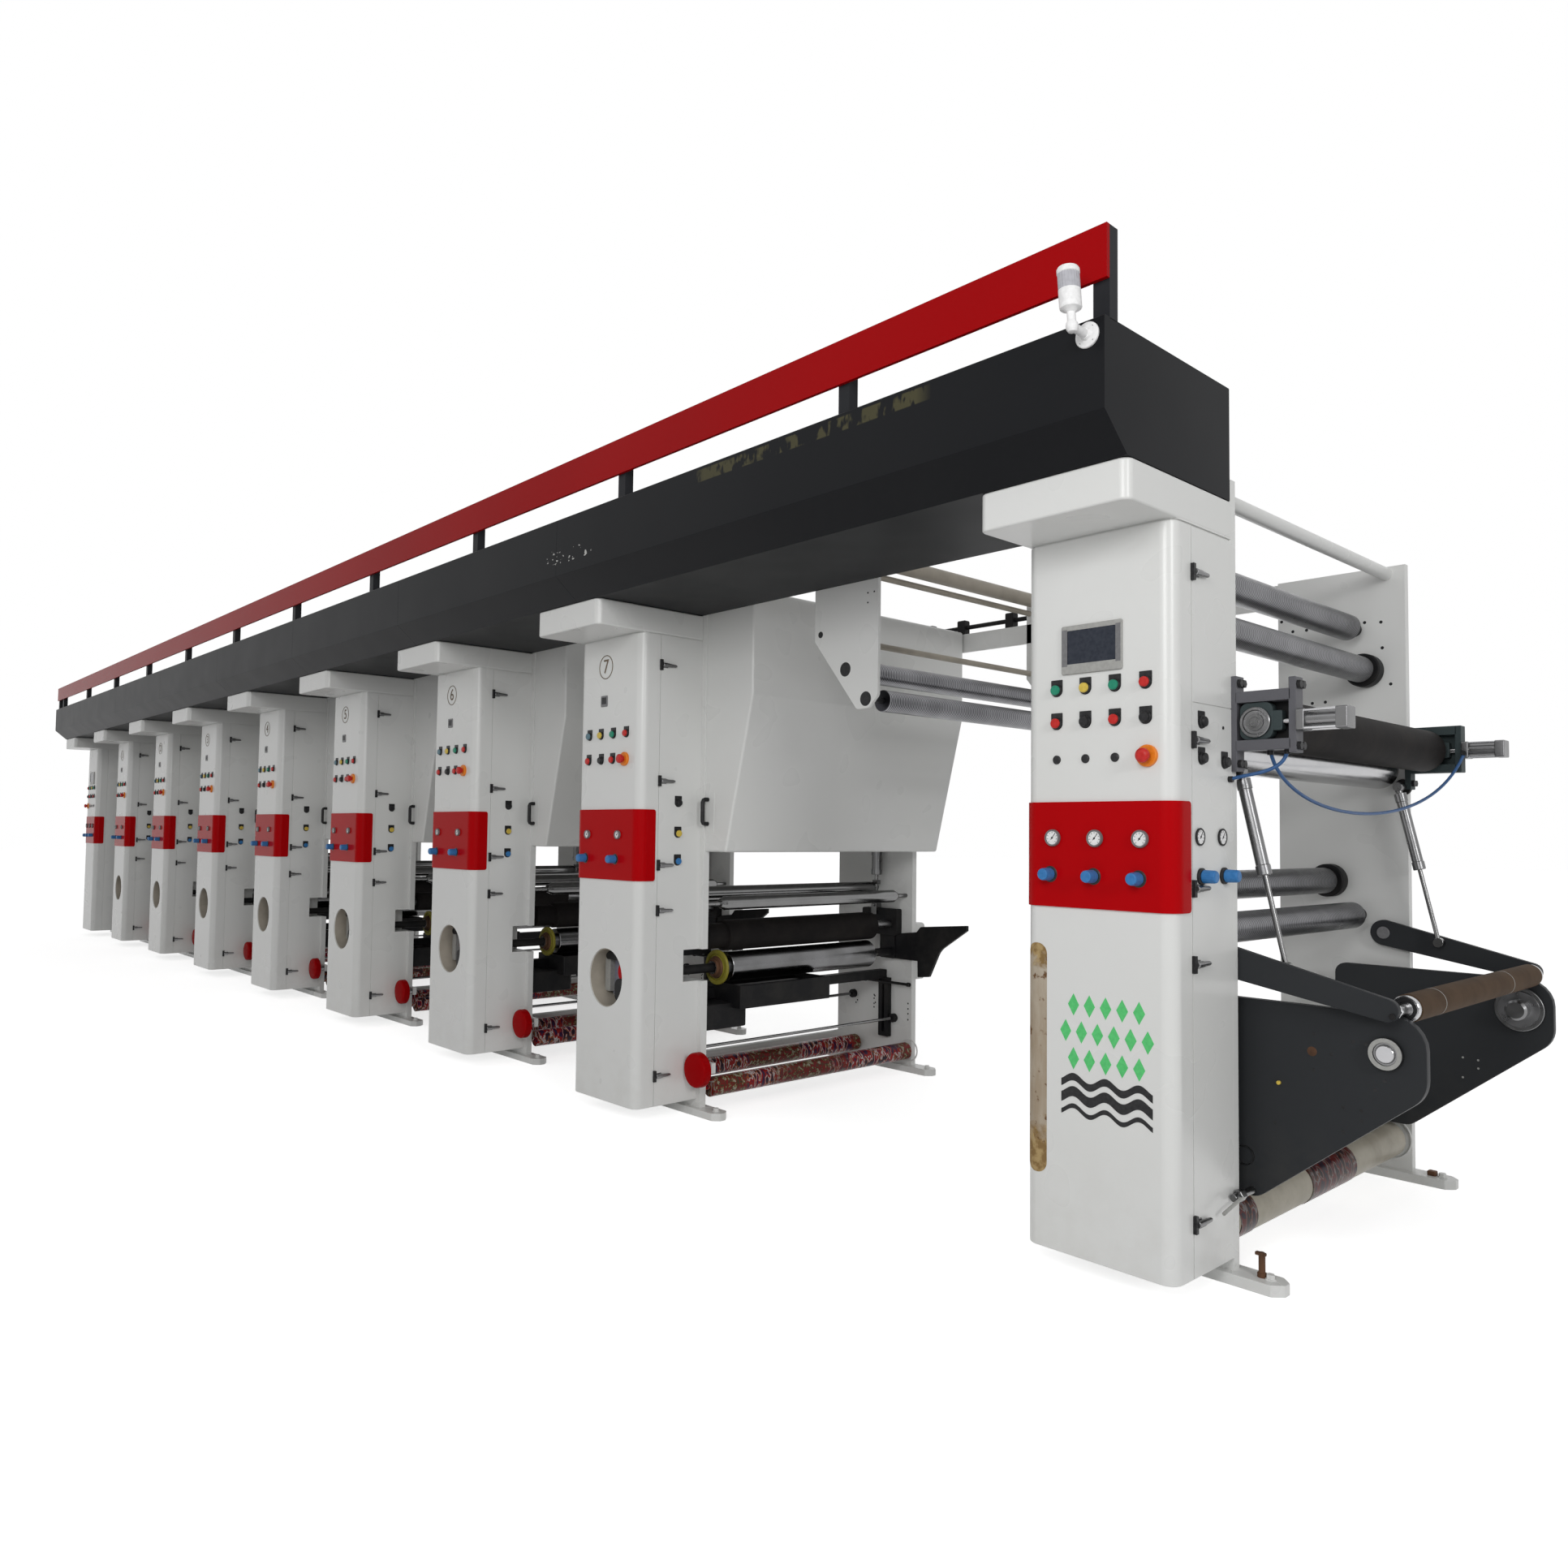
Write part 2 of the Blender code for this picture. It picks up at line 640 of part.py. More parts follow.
def unit_frame_mesh():
    """Walls, feet, guide rollers, rods, parked rolls, the slotted plate and the gear case behind."""
    solids = walls_and_feet(-WALL_OVERHANG, UNIT_RIGHT)
    for place in (GUIDE_FRONT, GUIDE_REAR):
        solids += guide_roller(place, GUIDE_RADIUS)
    solids.append(across(TIE_LOW, TIE_RADIUS))
    solids.append(across(STAY_ROD, ROD_RADIUS, 6))
    solids += parked_rolls()
    left, right, bottom, top = SLOT_PLATE
    face = INNER_FAR - SLOT_PLATE_THICK
    solids.append(block(left, right, face, INNER_FAR + SINK, bottom, top))
    start, end, height = TEE_BAR
    solids.append(bar("x", (face, height), start, end, ROD_RADIUS, 6))
    solids.append(
        block(
            CYLINDER_X - GEAR_CASE_LEFT,
            CYLINDER_X + GEAR_CASE_RIGHT,
            WALL_BACK - SINK,
            WALL_BACK + GEAR_CASE_DEPTH,
            CYLINDER_Z - GEAR_CASE_LEFT,
            CYLINDER_Z + GEAR_CASE_LEFT,
        )
    )
    notch_left, notch_bottom, notch_top = NOTCH
    cuts = [
        block(notch_left, UNIT_RIGHT + PAST, WALL_Y - PAST, INNER_NEAR + PAST, notch_bottom, notch_top),
        block(
            left + SLOT_MARGIN,
            right - SLOT_MARGIN,
            face - PAST,
            face + SLOT_DEPTH,
            bottom + SLOT_MARGIN,
            top - 2 * SLOT_MARGIN,
        ),
    ]
    return fused(solids, cuts)


def hood_mesh():
    """The closed drying hood between the walls, with wings in front of their edges and a handle."""
    middle = UNIT_WIDTH / 2
    low = HOOD_HALF_BOTTOM
    top = HOOD_HALF_TOP
    shape = [
        (middle - low, HOOD_BOTTOM),
        (middle + low, HOOD_BOTTOM),
        (middle + top, HOOD_KNEE),
        (middle + top, HOOD_TOP),
        (middle - top, HOOD_TOP),
        (middle - top, HOOD_KNEE),
    ]
    near = INNER_NEAR + SEAT_GAP
    far = INNER_FAR - SEAT_GAP
    front = near - HOOD_WING
    grip = front - HANDLE_REACH
    thick = HANDLE_THICK
    handle = [
        (front + SINK, HANDLE_BOTTOM),
        (front + SINK, HANDLE_BOTTOM + thick),
        (grip + thick, HANDLE_BOTTOM + thick),
        (grip + thick, HANDLE_TOP - thick),
        (front + SINK, HANDLE_TOP - thick),
        (front + SINK, HANDLE_TOP),
        (grip, HANDLE_TOP),
        (grip, HANDLE_BOTTOM),
    ]
    solids = [
        extruded(shape, "y", front, far + HOOD_WING),
        extruded(handle, "x", HANDLE_X, HANDLE_X + HANDLE_WIDTH),
    ]
    edge = WALL_OVERHANG + SEAT_GAP
    cuts = [
        block(-edge, UNIT_WIDTH + edge, start, end, HOOD_BOTTOM - PAST, HOOD_TOP + PAST)
        for start, end in ((front - PAST, near), (far, far + HOOD_WING + PAST))
    ]
    return fused(solids, cuts)


def gravure_cylinder_mesh():
    """The printing face, shaft and end ring, about their common axis."""
    return fused(
        [
            bar("y", (0, 0), CYLINDER_START, CYLINDER_START + CYLINDER_FACE, CYLINDER_RADIUS, 14),
            bar("y", (0, 0), SHAFT_START, INNER_FAR - RUN_GAP, SHAFT_RADIUS, 8),
            bar("y", (0, 0), RING_START, RING_START + RING_THICK, RING_RADIUS),
        ]
    )


def press_cylinders(bracket_top):
    """On each side, the air cylinder under the hood that loads the impression roller."""
    x = PRESS_CYLINDER_X
    offset = PRESS_CYLINDER_RADIUS + RUN_GAP
    solids = []
    for y, low, high in (
        (INNER_NEAR + offset, INNER_NEAR + SINK, INNER_NEAR + offset + HEAD_PLATE),
        (INNER_FAR - offset, INNER_FAR - offset - HEAD_PLATE, INNER_FAR - SINK),
    ):
        solids.append(block(x - HEAD_PLATE, x + HEAD_PLATE, low, high, bracket_top - 2 * HEAD_PLATE, bracket_top))
        solids.append(
            bar("z", (x, y), bracket_top - SINK, PRESS_CYLINDER_BOTTOM + SINK, PRESS_ROD_RADIUS, 6)
        )
        top = HOOD_BOTTOM - SEAT_GAP
        solids.append(bar("z", (x, y), PRESS_CYLINDER_BOTTOM, top, PRESS_CYLINDER_RADIUS, 8))
    return solids


def printing_head_mesh():
    """Side brackets, impression roller on its shaft, ink pan, sump, doctor beam, bearing and catch plate."""
    near = INNER_NEAR + SEAT_GAP
    far = INNER_FAR - SEAT_GAP
    face_start = CYLINDER_START - IMPRESSION_OVERLAP
    face_end = CYLINDER_START + CYLINDER_FACE + IMPRESSION_OVERLAP
    left = CYLINDER_X - HEAD_LEFT
    right = CYLINDER_X + HEAD_RIGHT
    bottom = CYLINDER_Z - HEAD_DROP
    top = IMPRESSION_Z + HEAD_RISE
    bracket = [(left, bottom), (right, bottom), (right, IMPRESSION_Z), (CYLINDER_X + PAST, top), (left, top)]
    solids = [extruded(bracket, "y", start, start + HEAD_PLATE) for start in (near, far - HEAD_PLATE)]
    axle = (CYLINDER_X, IMPRESSION_Z)
    solids.append(bar("y", axle, near + SINK, far - SINK, IMPRESSION_SHAFT, 6))
    solids.append(bar("y", axle, face_start, face_end, IMPRESSION_RADIUS))
    pan_top = CYLINDER_Z - CYLINDER_RADIUS - RUN_GAP
    pan_bottom = pan_top - PAN_DEPTH
    half = PAN_WIDTH / 2
    solids.append(block(CYLINDER_X - half, CYLINDER_X + half, face_start, face_end, pan_bottom, pan_top))
    beam_near, beam_far, beam_top, beam_bottom = DOCTOR_BEAM
    solids.append(
        block(
            CYLINDER_X - beam_far,
            CYLINDER_X - beam_near,
            near + SINK,
            far - SINK,
            pan_top - beam_bottom,
            pan_top - beam_top,
        )
    )
    sump_left, sump_right, sump_bottom = SUMP
    sump_start = near + HEAD_PLATE
    solids.append(
        block(sump_left, sump_right, sump_start, sump_start + SUMP_LENGTH, sump_bottom, pan_bottom + SINK)
    )
    x0, x1, z0, z1 = BEARING
    solids.append(block(x0, x1, CABINET_DEPTH - BEARING_DEPTH, near + HEAD_PLATE / 2, z0, z1))
    plate_start = far - HEAD_PLATE + SEAT_GAP
    solids.append(extruded(rounded(CATCH_PLATE, 1), "y", plate_start, far - SEAT_GAP))
    solids += press_cylinders(top - SEAT_GAP)
    inside = half - PAN_WALL
    cuts = [
        bore("y", (CYLINDER_X, CYLINDER_Z), SHAFT_START - PAST, WALL_BACK, SHAFT_RADIUS, 8),
        block(
            CYLINDER_X - inside,
            CYLINDER_X + inside,
            face_start + PAN_WALL,
            face_end - PAN_WALL,
            pan_top - PAN_HOLLOW,
            pan_top + SINK,
        ),
    ]
    return fused(solids, cuts)


def duct_mesh():
    """The long duct over the cabinets, with the posts that carry the fascia."""
    half = LINE_LENGTH / 2
    section = [
        (-DUCT_REACH, DUCT_TOP),
        (-DUCT_REACH, DUCT_BOTTOM + DUCT_CHAMFER),
        (-DUCT_REACH + DUCT_CHAMFER_IN, DUCT_BOTTOM),
        (CABINET_DEPTH, DUCT_BOTTOM),
        (CABINET_DEPTH, DUCT_TOP),
    ]
    solids = [extruded(section, "x", -half, half)]
    inner = FASCIA_SETBACK - DUCT_REACH + FASCIA_THICK + SEAT_GAP
    top = FASCIA_BOTTOM + FASCIA_HEIGHT
    post = POST_WIDTH / 2
    first = half - END_POST_STEP
    count = int((first + half - POST_PITCH / 2) // POST_PITCH) + 1
    for x in [half - post, *(first - POST_PITCH * i for i in range(count)), post - half]:
        solids.append(block(x - post, x + post, inner, inner + POST_DEPTH, DUCT_TOP - SINK, top))
    return fused(solids)


def fascia_mesh():
    half = LINE_LENGTH / 2
    front = FASCIA_SETBACK - DUCT_REACH
    top = FASCIA_BOTTOM + FASCIA_HEIGHT
    return fused([block(-half, half, front, front + FASCIA_THICK, FASCIA_BOTTOM, top)])


def beacon_mesh():
    """Round flange, elbow, stem and lamp, in coordinates of the flange's centre on the duct's face."""
    lamp = (0, -BEACON_ARM)
    cap = BEACON_HEIGHT - BEACON_CAP
    lip = BEACON_RADIUS + BEACON_LIP
    return fused(
        [
            bar("y", (0, 0), -BEACON_FLANGE_THICK, 0, BEACON_FLANGE),
            bar("y", (0, 0), -BEACON_ARM, -SEAT_GAP, BEACON_ARM_RADIUS, 8),
            bar("z", lamp, -BEACON_ARM_RADIUS, BEACON_LAMP_BOTTOM + SINK, BEACON_ARM_RADIUS, 8, twist=0.1),
            bar("z", lamp, BEACON_LAMP_BOTTOM, cap + SINK, BEACON_RADIUS),
            bar("z", lamp, cap, BEACON_HEIGHT, lip, 12, lip - BEACON_TAPER),
        ]
    )


def nip_brackets():
    """The brackets that carry the nip roller, each with a bearing boss and an air cylinder."""
    solids = []
    cuts = []
    half = NIP_CAP_HALF
    for start, outer, side in (
        (WALL_Y, WALL_Y, -1),
        (WALL_BACK - NIP_FRAME_THICK, WALL_BACK, 1),
    ):
        end = start + NIP_FRAME_THICK
        middle = (start + end) / 2
        solids.append(block(STAND_WIDTH - SINK, NIP_FRAME_RIGHT, start, end, NIP_FRAME_BOTTOM, NIP_FRAME_TOP))
        boss = sorted((outer - side * SINK, outer + side * NIP_BOSS_REACH))
        solids.append(bar("y", (NIP_X, NIP_Z), *boss, NIP_BOSS_RADIUS))
        solids.append(
            bar("x", (middle, NIP_Z), NIP_FRAME_RIGHT - SINK, NIP_CYLINDER_END - SINK, NIP_CYLINDER_RADIUS, 8)
        )
        for x in (NIP_FRAME_RIGHT - SINK, NIP_CYLINDER_END - NIP_CAP_THICK):
            solids.append(
                block(x, x + NIP_CAP_THICK, middle - half, middle + half, NIP_Z - half, NIP_Z + half)
            )
        past = NIP_BOSS_REACH + PAST
        cuts.append(bore("y", (NIP_X, NIP_Z), start - past, end + past, NIP_JOURNAL))
    return solids, cuts


def stand_frame_mesh():
    """An end stand: walls, feet, rollers, ties, nip brackets, and the pins of the lay-on gear."""
    solids = walls_and_feet(-STAND_OVERHANG, STAND_WIDTH)
    for place in STAND_ROLLERS:
        solids += guide_roller(place, STAND_ROLLER_RADIUS, 10)
    solids += guide_roller(DRAW_ROLLER, DRAW_RADIUS, 12)
    solids += guide_roller(STAND_FILM_ROLL, FILM_ROLL_RADIUS)
    for place in STAND_TIES:
        solids.append(across(place, TIE_RADIUS))
    brackets, cuts = nip_brackets()
    solids += brackets
    x, z = BARREL_TOP
    half = LUG_HALF
    for start, end in (
        (INNER_NEAR - SINK, INNER_NEAR + LUG_THICK),
        (INNER_FAR - LUG_THICK, INNER_FAR + SINK),
    ):
        solids.append(block(x - half, x + half, start, end, z - half, z + half))
    solids += on_both_walls(BARREL_TOP, BOSS_REACH, PIN_BOSS)
    solids += on_both_walls(LAY_ON_PIVOT, RUN_GAP + LAY_ON_THICK + LAY_ON_PIN_PROUD, LAY_ON_PIN, 12)
    foot_end = STAND_WIDTH + FOOT_REACH - ANCHOR_INSET
    anchor = (foot_end, WALL_Y + WALL_THICK / 2)
    solids.append(bar("z", anchor, FOOT_THICK - SINK, ANCHOR_HEIGHT, ANCHOR_RADIUS, 6))
    return fused(solids, cuts)


def winder_arms_mesh():
    """Both carrying plates, their bosses on the walls and the cross shaft that ties them."""
    outline = rounded(
        [
            (ARM_LEFT, ARM_TOP, ARM_CORNER),
            (ARM_TIP, ARM_TOP, ARM_TIP_CORNER),
            (ARM_TIP, ARM_TIP_BOTTOM, ARM_TIP_CORNER),
            (ARM_HEEL_X, ARM_BOTTOM, ARM_HEEL_CORNER),
            (ARM_LEFT, ARM_BOTTOM, ARM_CORNER),
        ]
    )
    far_face = ARM_FAR + ARM_PLATE
    solids = [
        extruded(outline, "y", ARM_NEAR, ARM_NEAR + ARM_PLATE),
        extruded(outline, "y", ARM_FAR, far_face),
        bar("y", ARM_SHAFT, ARM_NEAR + SINK, far_face - SINK, ARM_SHAFT_RADIUS, 10),
    ]
    for place in ARM_BOSSES:
        solids.append(bar("y", place, INNER_NEAR + SEAT_GAP, ARM_NEAR + SINK, ARM_BOSS_RADIUS, 8))
        solids.append(bar("y", place, far_face - SINK, INNER_FAR - SEAT_GAP, ARM_BOSS_RADIUS, 8))
    return fused(solids, [bore("y", CHUCK, ARM_NEAR - PAST, far_face + PAST, CHUCK_JOURNAL, 12)])


def chuck_mesh(sign):
    """A core chuck in its arm plate, y = 0 at the plate's inner face, sign +1 where the bay lies at +y."""
    outside = ARM_PLATE + RUN_GAP
    disc_end = RUN_GAP + CHUCK_DISC_THICK
    spans = [
        (-outside - SINK, disc_end, CHUCK_JOURNAL, 12),
        (RUN_GAP, disc_end, CHUCK_DISC, 16),
        (disc_end - SINK, CHUCK_NOSE_REACH, CHUCK_NOSE, 10),
        (-outside - CHUCK_COLLAR_THICK, -outside, CHUCK_COLLAR, 12),
    ]
    solids = []
    for first, last, radius, sides in spans:
        low, high = sorted((sign * first, sign * last))
        solids.append(bar("y", (0, 0), low, high, radius, sides))
    return fused(solids)


def lay_on_arms_mesh():
    """Both arms, the fixed shaft of the lay-on roller and the pins for the rods, about the pivot."""
    end = (LAY_ON_END[0] - LAY_ON_PIVOT[0], LAY_ON_END[1] - LAY_ON_PIVOT[1])
    rod_pin = (ROD_END[0] - LAY_ON_PIVOT[0], ROD_END[1] - LAY_ON_PIVOT[1])
    outline = link_outline((0, 0), LAY_ON_PIVOT_RADIUS, end, LAY_ON_TIP_RADIUS)
    near = INNER_NEAR + RUN_GAP
    far = INNER_FAR - RUN_GAP
    solids = [
        extruded(outline, "y", near, near + LAY_ON_THICK),
        extruded(outline, "y", far - LAY_ON_THICK, far),
        bar("y", end, near + SINK, far - SINK, LAY_ON_SHAFT),
        bar("y", rod_pin, near + SINK, INNER_NEAR + BOSS_REACH, PIN_BOSS, 8),
        bar("y", rod_pin, INNER_FAR - BOSS_REACH, far - SINK, PIN_BOSS, 8),
    ]
    return fused(solids, [bore("y", (0, 0), near - PAST, far + PAST, LAY_ON_PIN)])


def lay_on_roller_mesh():
    near = ARM_NEAR + ARM_PLATE + RUN_GAP
    far = ARM_FAR - RUN_GAP
    body = bar("y", (0, 0), near, far, LAY_ON_RADIUS, 14)
    return fused([body], [bore("y", (0, 0), near - PAST, far + PAST, LAY_ON_SHAFT)])


def nip_roller_mesh():
    inset = NIP_FRAME_THICK + NIP_INSET
    return fused(
        [
            bar("y", (0, 0), WALL_Y + inset, WALL_BACK - inset, NIP_RADIUS, 16),
            bar("y", (0, 0), WALL_Y, WALL_BACK, NIP_JOURNAL),
        ]
    )


def barrel_line():
    """Length and lean of the line from the barrel's pin down to the rod's end."""
    run = ROD_END[0] - BARREL_TOP[0]
    drop = BARREL_TOP[1] - ROD_END[1]
    return math.hypot(run, drop), math.atan2(run, drop)


def barrel_mesh():
    """An air cylinder hung from its pin at the origin, leaning along the rod's line."""
    lean = barrel_line()[1]
    body = bar("z", (0, 0), -BARREL_LENGTH, -BARREL_SHOULDER, BARREL_RADIUS)
    neck = bar("z", (0, 0), -BARREL_SHOULDER - SINK, -SINK, NECK_RADIUS, 8)
    eye = bar("y", (0, 0), -EYE_HALF, EYE_HALF, EYE_RADIUS, 10)
    hollow = bore("z", (0, 0), -BARREL_LENGTH - PAST, -BARREL_CAP, ROD_RADIUS, 8)
    mesh = fused([body, neck, eye], [hollow])
    mesh.transform(Matrix.Rotation(-lean, 4, "Y"))
    return mesh


def rod_mesh():
    """The rod with its eye, in the barrel's coordinates."""
    length, lean = barrel_line()
    body = bar("z", (0, 0), -length, -BARREL_CAP - ROD_TRAVEL, ROD_RADIUS, 8)
    eye = bar("y", (0, -length), -EYE_HALF, EYE_HALF, EYE_RADIUS, 10)
    mesh = fused([body, eye])
    mesh.transform(Matrix.Rotation(-lean, 4, "Y"))
    return mesh


def bridge_mesh():
    """Hanging plate, far plate, beam, rollers, rods and the shaft in clamps, in the last unit's coordinates."""
    near = CABINET_DEPTH + SEAT_GAP
    far = WALL_BACK + SEAT_GAP
    far_face = far + BRIDGE_PLATE
    right = BRIDGE_X + BRIDGE_WIDTH
    shoulder = BRIDGE_BOTTOM + BRIDGE_SHOULDER_RISE
    outline = rounded(
        [
            (BRIDGE_X, BRIDGE_TOP, 0),
            (BRIDGE_X, shoulder, 0),
            (right - BRIDGE_HEEL, BRIDGE_BOTTOM, 0.02),
            (right - BRIDGE_TOE, BRIDGE_BOTTOM, 0.02),
            (right, BRIDGE_BOTTOM + BRIDGE_TOE, 0.02),
            (right, BRIDGE_TOP, 0),
        ],
        1,
    )
    solids = [extruded(outline, "y", near, near + BRIDGE_PLATE), extruded(outline, "y", far, far_face)]
    inset = BRIDGE_ROLLER_INSET
    for aside, rise in BRIDGE_ROLLER_OFFSETS:
        place = (BRIDGE_X + aside, BRIDGE_BOTTOM + rise)
        solids.append(bar("y", place, near + SINK, far_face - SINK, JOURNAL_RADIUS, 6))
        solids.append(bar("y", place, near + inset, far - ROLLER_INSET, BRIDGE_ROLLER_RADIUS))
    low_rod = (BRIDGE_X + BRIDGE_ROD_INSET, shoulder + BRIDGE_ROD_RISE)
    top_rod = (BRIDGE_X + BRIDGE_TOP_ROD_INSET, BRIDGE_TOP - BRIDGE_TOP_ROD_DROP)
    for place in (low_rod, top_rod):
        solids.append(bar("y", place, near + SINK, far_face - SINK, BRIDGE_ROD_RADIUS, 6))
    start = UNIT_WIDTH - BEAM_LAP
    end = UNIT_WIDTH + REWIND_BAY + BEAM_LAP
    solids.append(block(start, end, far, far_face, WALL_TOP - BEAM_DEPTH, WALL_TOP))
    half = CLAMP_WIDTH / 2
    top = WALL_TOP + CLAMP_RISE
    for x in CLAMPS:
        solids.append(block(x - half, x + half, far + SEAT_GAP, far + CLAMP_WIDTH, WALL_TOP - CLAMP_WIDTH, top))
    shaft = (far + half, WALL_TOP + CLAMP_RISE / 2)
    solids.append(bar("x", shaft, CLAMPS[0] - CLAMP_WIDTH, BRIDGE_X + SINK, CLAMP_SHAFT_RADIUS, 6))
    return fused(solids)


for old in list(bpy.data.objects):
    bpy.data.objects.remove(old)
parts = bpy.data.collections.new("rotogravure_press")
cutters = bpy.data.collections.new("cutters")
for group in (parts, cutters):
    bpy.context.scene.collection.children.link(group)
press = bpy.data.objects.new("press", None)
press.location = (0, FACE_Y, 0)
parts.objects.link(press)

paint = material("off_white_paint", (0.83, 0.83, 0.80), 0.32)
dark_paint = material("dark_blue_grey_paint", (0.055, 0.062, 0.075), 0.42)
red_paint = material("red_paint", (0.62, 0.012, 0.02), 0.3)
chrome = material("chromed_steel", (0.62, 0.62, 0.62), 0.18, 1.0)
black_steel = material("blackened_steel", (0.03, 0.032, 0.036), 0.5, 0.4)
rubber = material("dark_rubber", (0.045, 0.035, 0.03), 0.6)
kraft = material("brown_rubber_sleeve", (0.22, 0.13, 0.075), 0.7)
steel = material("bright_steel", (0.6, 0.61, 0.62), 0.3, 1.0)
white_plastic = material("white_plastic", (0.85, 0.86, 0.86), 0.4)

cabinet = unit_cabinet_mesh()
frame = unit_frame_mesh()
hood = hood_mesh()
cylinder = gravure_cylinder_mesh()
head = printing_head_mesh()
for number in range(1, UNIT_COUNT + 1):
    unit_x = FIRST_UNIT_X + (number - 1) * UNIT_PITCH
    node(f"cabinet_{number}", cabinet, paint, unit_x)
    node(f"frame_{number}", frame, paint, unit_x)
    node(f"drying_hood_{number}", hood, paint, unit_x)
    node(f"gravure_cylinder_{number}", cylinder, chrome, unit_x + CYLINDER_X, z=CYLINDER_Z)
    node(f"printing_head_{number}", head, black_steel, unit_x)

stand_cabinet = stand_cabinet_mesh()
stand_frame = stand_frame_mesh()
winder_arms = winder_arms_mesh()
chuck_near = chuck_mesh(1)
chuck_far = chuck_mesh(-1)
nip_roller = nip_roller_mesh()

for name, side in (("rewinder", 1), ("unwinder", -1)):
    x = side * REWIND_X
    turned = (lambda mesh: mesh) if side == 1 else mirrored
    node(f"{name}_cabinet", turned(stand_cabinet), paint, x)
    node(f"{name}_frame", turned(stand_frame), paint, x)
    node(f"{name}_arms", turned(winder_arms), dark_paint, x)
    node(f"{name}_chuck_near", turned(chuck_near), steel, x + side * CHUCK[0], ARM_NEAR + ARM_PLATE, CHUCK[1])
    node(f"{name}_chuck_far", turned(chuck_far), steel, x + side * CHUCK[0], ARM_FAR, CHUCK[1])
    node(f"{name}_nip_roller", turned(nip_roller), rubber, x + side * NIP_X, 0, NIP_Z)

node("lay_on_arms", lay_on_arms_mesh(), dark_paint, REWIND_X + LAY_ON_PIVOT[0], 0, LAY_ON_PIVOT[1])
node("lay_on_roller", lay_on_roller_mesh(), kraft, REWIND_X + LAY_ON_END[0], 0, LAY_ON_END[1])
for side, y in (("near", INNER_NEAR + PIN_OFFSET), ("far", INNER_FAR - PIN_OFFSET)):
    node(f"air_cylinder_{side}", barrel_mesh(), steel, REWIND_X + BARREL_TOP[0], y, BARREL_TOP[1])
    node(f"piston_rod_{side}", rod_mesh(), chrome, REWIND_X + BARREL_TOP[0], y, BARREL_TOP[1])

node("overhead_duct", duct_mesh(), dark_paint, 0)
node("red_fascia", fascia_mesh(), red_paint, 0)
beacon_x = LINE_LENGTH / 2 - BEACON_INSET
node("beacon_lamp", beacon_mesh(), white_plastic, beacon_x, -DUCT_REACH - SEAT_GAP, BEACON_Z)
node("bridge", bridge_mesh(), paint, FIRST_UNIT_X + (UNIT_COUNT - 1) * UNIT_PITCH)
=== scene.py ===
import math

import bmesh
import bpy
import numpy as np
from mathutils import Matrix, Vector


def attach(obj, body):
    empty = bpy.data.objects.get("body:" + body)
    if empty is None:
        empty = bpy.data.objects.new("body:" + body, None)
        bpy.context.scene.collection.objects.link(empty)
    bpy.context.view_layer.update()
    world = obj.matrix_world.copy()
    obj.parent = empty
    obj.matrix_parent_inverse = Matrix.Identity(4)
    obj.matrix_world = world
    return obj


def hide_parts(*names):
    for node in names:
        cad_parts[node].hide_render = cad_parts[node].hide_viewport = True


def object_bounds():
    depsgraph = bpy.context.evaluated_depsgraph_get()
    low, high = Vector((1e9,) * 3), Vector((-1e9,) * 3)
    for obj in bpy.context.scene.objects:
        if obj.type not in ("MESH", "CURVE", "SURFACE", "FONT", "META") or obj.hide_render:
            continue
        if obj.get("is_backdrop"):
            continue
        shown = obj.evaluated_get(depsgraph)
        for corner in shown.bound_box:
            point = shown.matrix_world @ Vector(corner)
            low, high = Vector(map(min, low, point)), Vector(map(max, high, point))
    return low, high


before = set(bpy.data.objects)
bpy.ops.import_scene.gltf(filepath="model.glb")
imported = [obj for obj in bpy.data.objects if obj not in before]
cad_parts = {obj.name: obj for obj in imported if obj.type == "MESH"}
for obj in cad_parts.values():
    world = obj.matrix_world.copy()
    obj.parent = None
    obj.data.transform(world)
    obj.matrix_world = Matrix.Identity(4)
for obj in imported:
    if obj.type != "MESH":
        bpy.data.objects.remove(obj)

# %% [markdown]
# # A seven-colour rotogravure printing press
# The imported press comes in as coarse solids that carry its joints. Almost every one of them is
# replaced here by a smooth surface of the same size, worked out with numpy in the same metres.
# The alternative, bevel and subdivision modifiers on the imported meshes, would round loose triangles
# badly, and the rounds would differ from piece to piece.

cad_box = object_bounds()
print("CAD box", cad_box)

# %% [markdown]
# ## Where things stand
# The line is seven equal printing units between an unwinder (-X) and a rewinder (+X). A unit or an
# end stand is drawn once, with x from the left edge of its cabinet, y from the cabinet's face and z
# from the floor, and is then copied along the line. The unwinder is the rewinder seen in a mirror.

# %% Sizes of the line
UNIT_COUNT = 7
UNIT_PITCH = 1.6
UNIT_WIDTH = 0.516
STAND_WIDTH = 0.50
LINE_HALF = 7.1025
FIRST_UNIT_X = -5.6025
REWIND_X = 6.6025
FACE_Y = -0.7675
CABINET_DEPTH = 0.352
CABINET_BOTTOM = 0.07
CABINET_TOP = 2.234
HAT_TOP = 2.3517
WALL_Y = 0.3523
WALL_THICK = 0.035
WALL_TOP = 2.42
INNER_NEAR = 0.3873
INNER_FAR = 1.8503
WALL_BACK = 1.8853
UNITS = [(f"unit_{n}", FIRST_UNIT_X + UNIT_PITCH * (n - 1), n) for n in range(1, UNIT_COUNT + 1)]
STANDS = [("rewinder", REWIND_X, False), ("unwinder", -REWIND_X, True)]

# %% [markdown]
# ## Camera
# A camera is a place, a heading and a focal length. Here they come from lining up the corners of
# the cabinets with the photograph: the lens stands low in front of the rewinder and looks along
# the line. A matrix of right, up and backward vectors is set at once, since Euler angles would
# hide the small roll.

